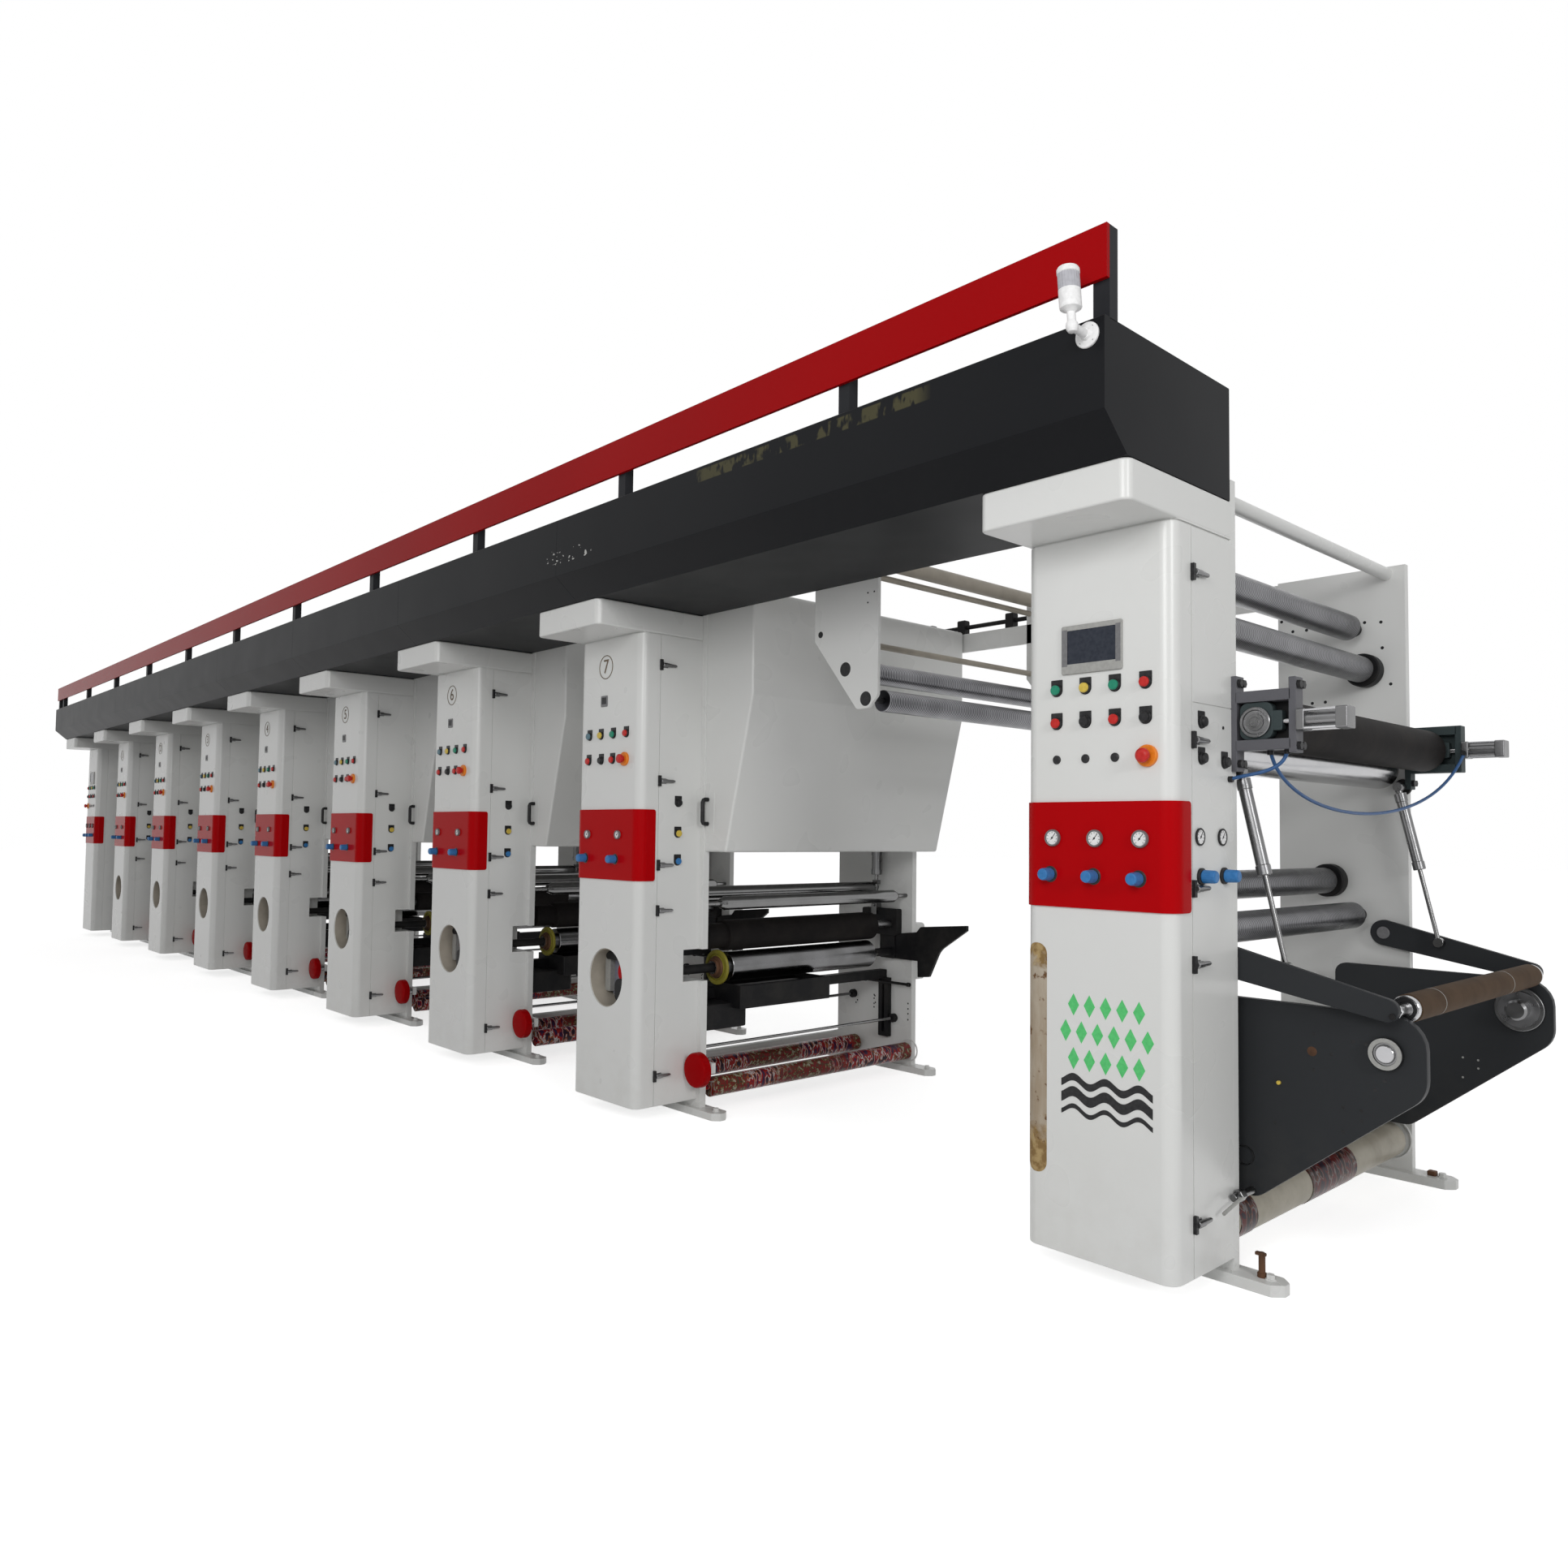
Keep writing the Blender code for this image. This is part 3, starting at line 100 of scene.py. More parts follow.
# %% The camera
HEADING, PITCH, ROLL = 0.8276, 0.0451, 0.0124
forward = Vector(
    (-math.sin(HEADING) * math.cos(PITCH), math.cos(HEADING) * math.cos(PITCH), math.sin(PITCH))
)
level = Vector((math.cos(HEADING), math.sin(HEADING), 0))
upright = level.cross(forward)
right = level * math.cos(ROLL) + upright * math.sin(ROLL)
up = upright * math.cos(ROLL) - level * math.sin(ROLL)
lens = bpy.data.cameras.new("camera")
lens.lens = 25.52
lens.sensor_width = 36
camera = bpy.data.objects.new("camera", lens)
camera.matrix_world = Matrix.Translation((8.6625, -3.6915, 1.315)) @ Matrix(
    (right, up, -forward)
).transposed().to_4x4()
bpy.context.scene.collection.objects.link(camera)
bpy.context.scene.camera = camera
print("camera looks along", tuple(round(part, 3) for part in forward))

# %% [markdown]
# ## Floor and light
# The floor is a plain pale disc. A world of even light alone would leave the metal flat, so three
# soft lamps add a direction: one along the front of the line, one on its rewinder end, and a smaller
# one beside the camera. The world shows white to the camera and to mirrors, and gives less than that as light.

# %% Floor, world and lamps
def wire(material, source, target):
    material.node_tree.links.new(source, target)


def add(material, kind, **inputs):
    """A node of this kind with its inputs set, or linked where a value is another node's socket."""
    made = material.node_tree.nodes.new(kind)
    for name, value in inputs.items():
        socket = made.inputs[int(name[1:])] if name[0] == "_" else made.inputs[name.replace("_", " ")]
        if isinstance(value, bpy.types.NodeSocket):
            wire(material, value, socket)
        else:
            socket.default_value = value
    return made


def seen_directly(owner):
    """1 where a camera, mirror or glass ray looks, 0 where light is gathered."""
    path = add(owner, "ShaderNodeLightPath")
    both = add(owner, "ShaderNodeMath", _0=path.outputs["Is Camera Ray"], _1=path.outputs["Is Glossy Ray"])
    both.operation = "MAXIMUM"
    every = add(owner, "ShaderNodeMath", _0=both.outputs[0], _1=path.outputs["Is Transmission Ray"])
    every.operation = "MAXIMUM"
    return every.outputs[0]


WORLD_LIGHT = 0.35
FLOOR_LIFT = 0.7
world = bpy.data.worlds.new("studio")
bpy.context.scene.world = world
world.use_nodes = True
strength = add(world, "ShaderNodeMapRange", Value=seen_directly(world), To_Min=WORLD_LIGHT, To_Max=1.0)
backdrop = world.node_tree.nodes["Background"]
backdrop.inputs["Color"].default_value = (1, 1, 1, 1)
wire(world, strength.outputs[0], backdrop.inputs["Strength"])

LAMPS = (
    ("front_lamp", (0.5, -8.0, 6.5), (0.5, 0.4, 1.2), (13.0, 4.0), 80),
    ("end_lamp", (19.0, -5.0, 5.5), (3.5, 0.0, 1.3), (3.0, 3.0), 400),
    ("near_lamp", (8.3, -4.6, 3.0), (6.0, 0.0, 1.4), (1.6, 1.6), 70),
)
for name, place, aim, size, power in LAMPS:
    lamp = bpy.data.lights.new(name, "AREA")
    lamp.shape = "RECTANGLE"
    lamp.size, lamp.size_y = size
    lamp.energy = power
    holder = bpy.data.objects.new(name, lamp)
    holder.visible_camera = False
    turn = (Vector(aim) - Vector(place)).to_track_quat("-Z", "Y").to_matrix().to_4x4()
    holder.matrix_world = Matrix.Translation(place) @ turn
    bpy.context.scene.collection.objects.link(holder)

bpy.context.scene.view_settings.view_transform = "Standard"
floor_paint = bpy.data.materials.new("floor")
floor_paint.use_nodes = True
floor_shader = floor_paint.node_tree.nodes["Principled BSDF"].inputs
floor_shader["Base Color"].default_value = (0.85, 0.85, 0.85, 1)
floor_shader["Roughness"].default_value = 0.9
floor_shader["Specular IOR Level"].default_value = 0.1
floor_shader["Emission Color"].default_value = (1, 1, 1, 1)
lift = add(
    floor_paint, "ShaderNodeMapRange", Value=seen_directly(floor_paint), To_Min=0.0, To_Max=FLOOR_LIFT
)
wire(floor_paint, lift.outputs[0], floor_shader["Emission Strength"])
angles = np.linspace(0, 2 * np.pi, 96, endpoint=False)
rim = np.stack([60 * np.cos(angles), 60 * np.sin(angles), 0 * angles], axis=-1)
floor_mesh = bpy.data.meshes.new("floor")
floor_mesh.from_pydata(rim, [], [list(range(96))])
floor_mesh.materials.append(floor_paint)
floor = bpy.data.objects.new("floor", floor_mesh)
bpy.context.scene.collection.objects.link(floor)
floor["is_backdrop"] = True

# %% [markdown]
# ## Shapes as arrays
# A shape is a pair: an array of points and a list of arrays of faces. Everything round or folded
# is a closed skin over rings of points, so one function makes the faces and the others only say
# where the points lie. Closed skins may sink into each other, as welded and bolted parts do.

# %% Skins, turned solids, plates and tubes
COLUMNS = {"x": (2, 0, 1), "y": (0, 2, 1), "z": (0, 1, 2)}


def laid(shape, axis):
    """A shape drawn along w, laid along a world axis: u and v are the other two coordinates in order.
    Swapping into y turns the handedness, so its faces are turned back."""
    points, blocks = shape
    if axis == "y":
        blocks = [block[:, ::-1] for block in blocks]
    return points[:, COLUMNS[axis]], blocks


def skin(grid):
    """Rings of points joined by quads and closed by a face at each end. grid[i, j] is point j of
    ring i, and each ring runs counter-clockwise seen from the last ring's side."""
    rings, count = grid.shape[:2]
    index = np.arange(rings * count).reshape(rings, count)
    after = np.roll(index, -1, axis=1)
    quads = np.stack([index[:-1], after[:-1], after[1:], index[1:]], axis=-1).reshape(-1, 4)
    return grid.reshape(-1, 3), [quads, index[:1, ::-1], index[-1:]]


def lathe(profile, axis, centre, sides=32, ripple=0.0, ribs=12):
    """A profile of (along, radius) pairs turned about a line. Point (i, j) lies at angle
    a = 2 pi j / sides and radius r_i (1 + ripple cos(ribs a)), at along_i."""
    if profile[-1][0] < profile[0][0]:
        profile = profile[::-1]
    along, radius = np.array(profile, float).T
    angle = np.arange(sides) * 2 * np.pi / sides
    reach = radius[:, None] * (1 + ripple * np.cos(ribs * angle))
    u = centre[0] + reach * np.cos(angle)
    v = centre[1] + reach * np.sin(angle)
    return laid(skin(np.stack([u, v, along[:, None] + 0 * u], axis=-1)), axis)


def rod(axis, centre, start, end, radius, edge=0.002, sides=32):
    """A round bar with chamfered rims."""
    profile = [(start, radius - edge), (start + edge, radius), (end - edge, radius), (end, radius - edge)]
    return lathe(profile, axis, centre, sides)


def rounded(corners, steps=6):
    """A closed outline whose corners, given as (u, v, radius), are arcs of that radius."""
    points = []
    for index, (u, v, radius) in enumerate(corners):
        if not radius:
            points.append((u, v))
            continue
        before, after = corners[index - 1], corners[(index + 1) % len(corners)]
        back = math.atan2(before[1] - v, before[0] - u)
        ahead = math.atan2(after[1] - v, after[0] - u)
        half = ((ahead - back + math.pi) % (2 * math.pi) - math.pi) / 2
        reach = radius / abs(math.sin(half))
        centre = (u + reach * math.cos(back + half), v + reach * math.sin(back + half))
        side = math.copysign(math.pi / 2, half)
        first = back - side
        sweep = (ahead + side - first + math.pi) % (2 * math.pi) - math.pi
        angle = first + sweep * np.arange(steps + 1) / steps
        points += list(zip(centre[0] + radius * np.cos(angle), centre[1] + radius * np.sin(angle)))
    return points


def plate(outline, axis, start, end, edge=0.002, steps=2):
    """An outline given thickness. Towards each face its rings step in along the corner bisectors
    by edge (1 - sin a) while they rise by edge (1 - cos a), a quarter of a circle."""
    outline = np.array(outline, float)
    ahead = np.roll(outline, -1, axis=0) - outline
    if (outline[:, 0] * ahead[:, 1] - outline[:, 1] * ahead[:, 0]).sum() < 0:
        outline = outline[::-1]
        ahead = np.roll(outline, -1, axis=0) - outline
    ahead /= np.linalg.norm(ahead, axis=1, keepdims=True)
    inward = np.stack([-ahead[:, 1], ahead[:, 0]], axis=-1)
    before = np.roll(inward, 1, axis=0)
    bisector = (inward + before) / (1 + (inward * before).sum(axis=1, keepdims=True))
    angle = np.linspace(0, np.pi / 2, steps + 1)
    inset = edge * (1 - np.sin(angle))
    rise = edge * (1 - np.cos(angle))
    inset = np.concatenate([inset, inset[::-1]])[:, None, None]
    height = np.concatenate([start + rise, (end - rise)[::-1]])[:, None]
    rings = outline + inset * bisector
    return laid(skin(np.concatenate([rings, (height + 0 * rings[..., 0])[..., None]], axis=-1)), axis)


def block(x, y, z, edge=0.002, corner=0.0, axis="z"):
    """A box between three (low, high) pairs, its corners round the axis of radius corner."""
    u, v, w = {"x": (y, z, x), "y": (x, z, y), "z": (x, y, z)}[axis]
    sides = [(u[0], v[0], corner), (u[1], v[0], corner), (u[1], v[1], corner), (u[0], v[1], corner)]
    return plate(rounded(sides), axis, *w, edge)


def tube(path, radius, sides=12, across=(0, 0, 1)):
    """A round section carried along a path: point + radius (cos a * n + sin a * b), where n and b
    stand across the path's direction and n is square to the given vector."""
    path = np.array(path, float)
    ahead = np.gradient(path, axis=0)
    ahead /= np.linalg.norm(ahead, axis=1, keepdims=True)
    n = np.cross(across, ahead)
    n /= np.linalg.norm(n, axis=1, keepdims=True)
    b = np.cross(ahead, n)
    angle = np.arange(sides)[:, None] * 2 * np.pi / sides
    ring = np.cos(angle) * n[:, None] + np.sin(angle) * b[:, None]
    return skin(path[:, None] + radius * ring)


def hoop(loop, axis, centre, sides=48):
    """A closed loop of (radius, along) pairs carried round a line: the solid of a ring. The loop runs
    counter-clockwise with the radius across and the axis up."""
    radius, along = np.array(loop, float).T
    angle = np.arange(sides)[:, None] * 2 * np.pi / sides
    u = centre[0] + radius * np.cos(angle)
    v = centre[1] + radius * np.sin(angle)
    index = np.arange(sides * len(radius)).reshape(sides, -1)
    onward = np.roll(index, -1, axis=0)
    quads = np.stack([index, onward, np.roll(onward, -1, axis=1), np.roll(index, -1, axis=1)], axis=-1)
    return laid((np.stack([u, v, along + 0 * u], axis=-1).reshape(-1, 3), [quads.reshape(-1, 4)]), axis)


def torus(axis, centre, along, ring, radius, sides=48, section=12):
    """A hoop of round section: radius ring + radius cos b, at along + radius sin b."""
    b = np.arange(section) * 2 * np.pi / section
    return hoop(
        np.stack([ring + radius * np.cos(b), along + radius * np.sin(b)], axis=-1), axis, centre, sides
    )


def link(a, a_radius, b, b_radius, steps=14):
    """The outline round two circles and the lines that touch both."""
    along = math.atan2(b[1] - a[1], b[0] - a[0])
    spread = math.acos((a_radius - b_radius) / math.dist(a, b))
    one = along - spread + 2 * spread * np.arange(steps + 1) / steps
    two = along + spread + (2 * math.pi - 2 * spread) * np.arange(steps + 1) / steps
    first = np.stack([b[0] + b_radius * np.cos(one), b[1] + b_radius * np.sin(one)], axis=-1)
    second = np.stack([a[0] + a_radius * np.cos(two), a[1] + a_radius * np.sin(two)], axis=-1)
    return np.concatenate([first, second])


def joined(shapes):
    """Several shapes as one: the points stacked and the faces counted on."""
    starts = np.cumsum([0] + [len(points) for points, _ in shapes[:-1]])
    blocks = [block + start for (_, kept), start in zip(shapes, starts) for block in kept]
    return np.vstack([points for points, _ in shapes]), blocks


# %% [markdown]
# ## From arrays to pieces
# A mesh is made once and copied to each unit with its place in its points, since the press's
# export puts every object at the origin. The mirrored stand needs its faces turned back. Real
# openings, such as the round window, are cut with an exact Boolean, which a skin of rings alone
# can't give. Large flat faces would look pillowed next to their small rounded edges, so a Weighted
# Normal modifier lets the larger face set the shading.

# %% Meshes, cuts and pieces
SHARP = math.radians(35)


def meshed(*shapes):
    points, blocks = joined(shapes)
    mesh = bpy.data.meshes.new("shape")
    mesh.from_pydata(points, [], [face for block in blocks for face in block.tolist()])
    mesh.shade_smooth()
    mesh.set_sharp_from_angle(angle=SHARP)
    return mesh


def carved(mesh, tools, operation="DIFFERENCE"):
    """The mesh with each tool shape cut out of it, or with only what lies in the tool kept."""
    holders = [bpy.data.objects.new("holder", shape) for shape in (mesh, meshed(*tools))]
    for holder in holders:
        bpy.context.scene.collection.objects.link(holder)
    cut = holders[0].modifiers.new("cut", "BOOLEAN")
    cut.operation = operation
    cut.object = holders[1]
    graph = bpy.context.evaluated_depsgraph_get()
    made = bpy.data.meshes.new_from_object(holders[0].evaluated_get(graph))
    for holder in holders:
        bpy.data.objects.remove(holder)
    if len(made.polygons) < len(mesh.polygons) // 2:
        raise RuntimeError("a cut left too little: its tools may cross each other")
    made.shade_smooth()
    made.set_sharp_from_angle(angle=SHARP)
    return made


def piece(name, mesh, finish, x=0.0, mirror=False, body="press", stands_for=()):
    """A copy of the mesh at x along the line, in its finish, riding on a body of the press."""
    shape = mesh.copy()
    shape.materials.clear()
    if mirror:
        shape.transform(Matrix.Scale(-1, 4, (1, 0, 0)))
        shape.flip_normals()
    shape.transform(Matrix.Translation((x, FACE_Y, 0)))
    shape.materials.append(finish)
    made = bpy.data.objects.new(name, shape)
    bpy.context.scene.collection.objects.link(made)
    even = made.modifiers.new("even_shading", "WEIGHTED_NORMAL")
    even.keep_sharp = True
    even.weight = 100
    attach(made, body)
    if stands_for:
        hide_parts(*stands_for)
    return made


def in_units(name, mesh, finish, body="press", stands_for=None):
    """The piece in each printing unit. {} in the body or the node's name is the unit's number."""
    for unit, x, number in UNITS:
        nodes = [stands_for.format(number)] if stands_for else ()
        piece(f"{unit}_{name}", mesh, finish, x, body=body.format(number), stands_for=nodes)


def in_stands(name, mesh, finish, body="press", stands_for=None):
    """The piece in both end stands. {} in the body or the node's name is the stand's name."""
    for stand, x, mirror in STANDS:
        nodes = [stands_for.format(stand)] if stands_for else ()
        piece(f"{stand}_{name}", mesh, finish, x, mirror, body.format(stand), nodes)


# %% [markdown]
# ## Paint
# Cabinets, walls and hoods wear gloss enamel sprayed on sheet steel: nearly even, with the slight
# ripple called orange peel, faint clouding and some dirt towards the floor. One recipe with
# different numbers serves every paint. Noise is read from Object coordinates, so it keeps its
# scale in metres on large and small pieces.

# %% The paint recipe
def coordinates(material):
    return add(material, "ShaderNodeTexCoord").outputs["Object"]


def noise(material, scale, detail=2.0, roughness=0.5, stretch=(1, 1, 1)):
    spread = add(material, "ShaderNodeMapping", Vector=coordinates(material), Scale=stretch)
    made = add(
        material, "ShaderNodeTexNoise", Vector=spread.outputs[0], Scale=scale, Detail=detail, Roughness=roughness
    )
    return made.outputs["Fac"]


def ramp(material, value, low, high, start=0.0, end=1.0):
    """value mapped from low..high to start..end and held there."""
    made = add(
        material, "ShaderNodeMapRange", Value=value, From_Min=low, From_Max=high, To_Min=start, To_Max=end
    )
    return made.outputs[0]


def product(material, a, b, operation="MULTIPLY"):
    made = add(material, "ShaderNodeMath", _0=a, _1=b)
    made.operation = operation
    return made.outputs[0]


def blended(material, share, a, b):
    """Colour a where share is 0 and b where it is 1."""
    made = material.node_tree.nodes.new("ShaderNodeMix")
    made.data_type = "RGBA"
    for socket, value in ((made.inputs[0], share), (made.inputs[6], a), (made.inputs[7], b)):
        if isinstance(value, bpy.types.NodeSocket):
            wire(material, value, socket)
        else:
            socket.default_value = (*value, 1) if isinstance(value, tuple) else value
    return made.outputs[2]


def surface(name, slot, roughness, metallic=0.0, specular=0.5, **sockets):
    """A new material with its plain numbers on the shader's own sockets."""
    material = bpy.data.materials.new(name)
    material.use_nodes = True
    material["slot"] = slot
    shader = material.node_tree.nodes["Principled BSDF"]
    shader.inputs["Roughness"].default_value = roughness
    shader.inputs["Metallic"].default_value = metallic
    shader.inputs["Specular IOR Level"].default_value = specular
    for socket, value in sockets.items():
        shader.inputs[socket.replace("_", " ")].default_value = value
    return material, shader.inputs


def bump(material, inputs, height, strength, distance):
    made = add(material, "ShaderNodeBump", Height=height, Strength=strength, Distance=distance)
    wire(material, made.outputs[0], inputs["Normal"])


def height_above_floor(material):
    return add(material, "ShaderNodeSeparateXYZ", Vector=coordinates(material)).outputs["Z"]


def enamel(
    name, slot, colour, shade, roughness=0.25, peel=0.12, grime=(0.30, 0.26, 0.2), dirt=0.12, specular=0.5
):
    """Sprayed enamel: clouding from colour to shade, orange peel, and dirt that thins out above the floor."""
    material, inputs = surface(name, slot, roughness, specular=specular)
    cloud = ramp(material, noise(material, 1.3, 1), 0.2, 0.8)
    base = blended(material, cloud, colour, shade)
    low = ramp(material, height_above_floor(material), 0.0, 0.5, dirt, 0.0)
    spots = ramp(material, noise(material, 9, 6, 0.65), 0.42, 0.7)
    base = blended(material, product(material, low, spots), base, grime)
    wire(material, base, inputs["Base Color"])
    wire(
        material, ramp(material, noise(material, 5, 1), 0.2, 0.8, roughness * 0.95, roughness * 1.05),
        inputs["Roughness"]
    )
    bump(material, inputs, noise(material, 160, 2), peel, 0.001)
    return material


white = enamel(
    "off_white_enamel", "white_paint", (0.735, 0.74, 0.73), (0.715, 0.72, 0.70), 0.28, 0.03, specular=0.4
)
red = enamel(
    "red_enamel", "red_paint", (0.46, 0.0015, 0.004), (0.42, 0.0015, 0.003), 0.22, 0.04, dirt=0.0,
    specular=0.04
)
# A deeper red for the fascia boards. On the roll caps the same darker red is painted shade, in place of the
# panels' red.
fascia_red_and_painted_shade = enamel(
    "deep_red_enamel", "red_paint", (0.36, 0.0015, 0.003), (0.32, 0.0015, 0.003), 0.24, 0.04, dirt=0.0,
    specular=0.03
)
dark = enamel(
    "dark_grey_enamel", "dark_paint", (0.019, 0.020, 0.023), (0.025, 0.026, 0.029), 0.4, 0.05, dirt=0.1,
    specular=0.06
)
arm_paint = enamel(
    "slate_grey_enamel", "dark_paint", (0.029, 0.031, 0.034), (0.036, 0.038, 0.040), 0.42, 0.05, dirt=0.1,
    specular=0.07
)
# The mid grey bracket paint darkened: painted shade, used on the far nip frame, its outer cover and the slides.
bracket_grey_in_painted_shade = enamel(
    "teal_grey_casting", "dark_paint", (0.035, 0.05, 0.052), (0.05, 0.065, 0.067), 0.5, 0.2, dirt=0.0,
    specular=0.15
)
bracket_grey = enamel(
    "mid_grey_enamel", "dark_paint", (0.12, 0.12, 0.132), (0.10, 0.10, 0.112), 0.4, 0.1, dirt=0.0,
    specular=0.2
)

# %% [markdown]
# ## Metal, rubber and plastic
# Turned steel and aluminium show fine rings round their axis. All rollers lie along Y, so rings
# are waves of the Object Y coordinate, fed to bump and to the colour, where the furrows get a darker
# colour as painted shade in the grooves. Rubber and black castings are rough with uneven wear, and
# small plastic parts differ only in colour.

# %% Metal, rubber and plastic recipes
def rings(material, per_metre, axis="Y"):
    """Waves across one axis: their phase is that coordinate, so they run round the others."""
    made = add(
        material, "ShaderNodeTexWave", Vector=coordinates(material), Scale=per_metre / 20 * 2 * math.pi
    )
    made.bands_direction = axis
    made.inputs["Distortion"].default_value = 0.0
    return made.outputs["Fac"]


def turned_metal(name, slot, colour, shade, roughness, per_metre=350, depth=0.25, blotch=0.25):
    """Metal with rings round its axis: crests of one colour and furrows of the other, a darker one that
    is painted shade in the grooves, with faint clouding of the given share."""
    material, inputs = surface(name, slot, roughness, 1.0)
    wave = rings(material, per_metre)
    cloud = ramp(material, noise(material, 6, 4), 0.35, 0.65, -blotch, blotch)
    share = product(material, wave, cloud, "ADD")
    wire(material, blended(material, share, shade, colour), inputs["Base Color"])
    wire(
        material, ramp(material, noise(material, 25, 3), 0.3, 0.7, roughness * 0.85, roughness * 1.15),
        inputs["Roughness"]
    )
    bump(material, inputs, wave, depth, 0.0006)
    return material


def worn(name, slot, colour, shade, roughness, metallic=0.0, specular=0.12, grain=60.0, depth=0.3):
    """Rough dark stuff, rubbed lighter in patches."""
    material, inputs = surface(name, slot, roughness, metallic, specular)
    rubbed = ramp(material, noise(material, 7, 6, 0.6), 0.42, 0.68)
    wire(material, blended(material, rubbed, colour, shade), inputs["Base Color"])
    bump(material, inputs, noise(material, grain, 5), depth, 0.001)
    return material


def plastic(name, slot, colour, roughness=0.35):
    material, inputs = surface(name, slot, roughness, specular=0.25)
    faded = tuple(min(1.0, part * 1.12 + 0.01) for part in colour)
    wire(
        material, blended(material, ramp(material, noise(material, 90, 3), 0.35, 0.65), colour, faded),
        inputs["Base Color"]
    )
    wire(
        material, ramp(material, noise(material, 140, 2), 0.3, 0.7, roughness * 0.8, roughness * 1.2),
        inputs["Roughness"]
    )
    return material


chrome = turned_metal(
    "chromed_steel", "chrome_plate", (0.22, 0.22, 0.22), (0.16, 0.16, 0.16), 0.19, 400, 0.03
)
engraved_chrome = turned_metal(
    "engraved_chrome", "chrome_plate", (0.19, 0.19, 0.195), (0.11, 0.11, 0.11), 0.22, 250, 0.05, 0.4
)
polished = turned_metal(
    "polished_steel", "bright_steel", (0.50, 0.50, 0.51), (0.42, 0.42, 0.43), 0.2, 400, 0.03
)
steel = turned_metal(
    "turned_steel", "bright_steel", (0.22, 0.22, 0.225), (0.15, 0.15, 0.15), 0.3, 400, 0.06
)
# The near-black furrow colour is painted shade in the grooves.
grooved = turned_metal(
    "grooved_aluminium", "bright_steel", (0.30, 0.30, 0.315), (0.035, 0.035, 0.04), 0.32, 95, 0.9, 0.1
)
black = worn("blackened_steel", "black_steel", (0.008, 0.008, 0.009), (0.022, 0.021, 0.02), 0.5)
rubber = worn(
    "dark_rubber", "dark_rubber", (0.007, 0.006, 0.006), (0.014, 0.012, 0.011), 0.65, specular=0.08
)
kraft = worn("brown_sleeve", "brown_sleeve", (0.078, 0.049, 0.029), (0.056, 0.034, 0.020), 0.75, depth=0.1)
brown_metal = worn("brown_anchor_steel", "black_steel", (0.14, 0.07, 0.04), (0.05, 0.03, 0.02), 0.6, 0.3)
pale = plastic("white_plastic", "white_plastic", (0.78, 0.78, 0.78))
blue = plastic("blue_plastic", "white_plastic", (0.030, 0.165, 0.41))
hose_blue = plastic("blue_hose", "white_plastic", (0.025, 0.085, 0.22), 0.4)
yellow = plastic("yellow_plastic", "white_plastic", (0.60, 0.44, 0.07))
olive = plastic("olive_plastic", "white_plastic", (0.25, 0.22, 0.025), 0.4)
lens_grey = plastic("lamp_lens", "white_plastic", (0.40, 0.40, 0.43), 0.2)
cream = worn("cream_film", "white_paint", (0.44, 0.41, 0.34), (0.34, 0.31, 0.25), 0.4)
green = plastic("green_plastic", "white_plastic", (0.012, 0.22, 0.13))
orange = plastic("orange_plastic", "white_plastic", (0.72, 0.20, 0.012))
scarlet = plastic("scarlet_plastic", "white_plastic", (0.48, 0.015, 0.012))
jet = plastic("black_plastic", "black_steel", (0.008, 0.008, 0.009), 0.45)
grey = plastic("grey_plastic", "white_plastic", (0.16, 0.16, 0.165))
blue_grey = plastic("blue_grey_plastic", "white_plastic", (0.10, 0.18, 0.22))
pale_grey = plastic("pale_grey_plastic", "white_plastic", (0.33, 0.33, 0.315))
leaf_green = plastic("leaf_green_film", "white_plastic", (0.09, 0.52, 0.16), 0.5)
ring_brown = worn("brown_lettering", "brown_sleeve", (0.11, 0.08, 0.05), (0.17, 0.13, 0.09), 0.5)
screen_face = plastic("dark_screen", "black_steel", (0.014, 0.019, 0.032), 0.12)
lavender = plastic("lavender_grey_lining", "white_plastic", (0.20, 0.20, 0.245), 0.5)
beige = worn("beige_enamel", "white_paint", (0.42, 0.38, 0.32), (0.34, 0.31, 0.26), 0.4)


def patched(name, slot):
    """Old adhesive on primer: a greyish cream middle, rust brown towards both ends, and dark specks.
    The noise moves the borders of the brown up and down."""
    material, inputs = surface(name, slot, 0.7, specular=0.15)
    height = height_above_floor(material)
    jitter = product(material, noise(material, 22, 4, 0.6), 0.22)
    upper = ramp(material, product(material, height, jitter, "ADD"), 1.02, 1.07)
    lower = ramp(material, product(material, height, jitter, "ADD"), 0.50, 0.56, 1.0, 0.0)
    rust = product(material, upper, lower, "MAXIMUM")
    runs = ramp(material, noise(material, 14, 5, 0.6, (1, 1, 0.25)), 0.40, 0.62)
    base = blended(material, runs, (0.47, 0.41, 0.33), (0.36, 0.29, 0.21))
    brown = blended(
        material, ramp(material, noise(material, 40, 4), 0.45, 0.6), (0.24, 0.15, 0.06), (0.42, 0.30, 0.14)
    )
    base = blended(material, rust, base, brown)
    wire(
        material,
        blended(material, ramp(material, noise(material, 30, 4), 0.62, 0.68), base, (0.14, 0.07, 0.03)),
        inputs["Base Color"]
    )
    bump(material, inputs, noise(material, 60, 4), 0.3, 0.0006)
    return material


residue = patched("residue_on_primer", "brown_sleeve")

# %% [markdown]
# ## Cabinets
# Each unit's front housing is folded sheet: flat faces, tall rounded corners, a seam down each
# side where the front cover meets the body, and a hat that reaches forward under the duct. The
# housing is an outline seen from above, drawn up the Z axis. The openings are cut afterwards.

# %% Cabinet housings, hats and red panels
CORNER = 0.045
SEAM = (0.105, 0.109)
SEAM_DEPTH = 0.004
WINDOW = (0.27, 0.638)
WINDOW_RADIUS = 0.135
WINDOW_DEPTH = 0.11
NOTCH = ((0.35, 0.56), (0.265, 0.40), (0.622, 0.77))
PANEL_THICK = 0.006
PANEL_SIDE = 0.09
PANEL_ROUND = 0.012


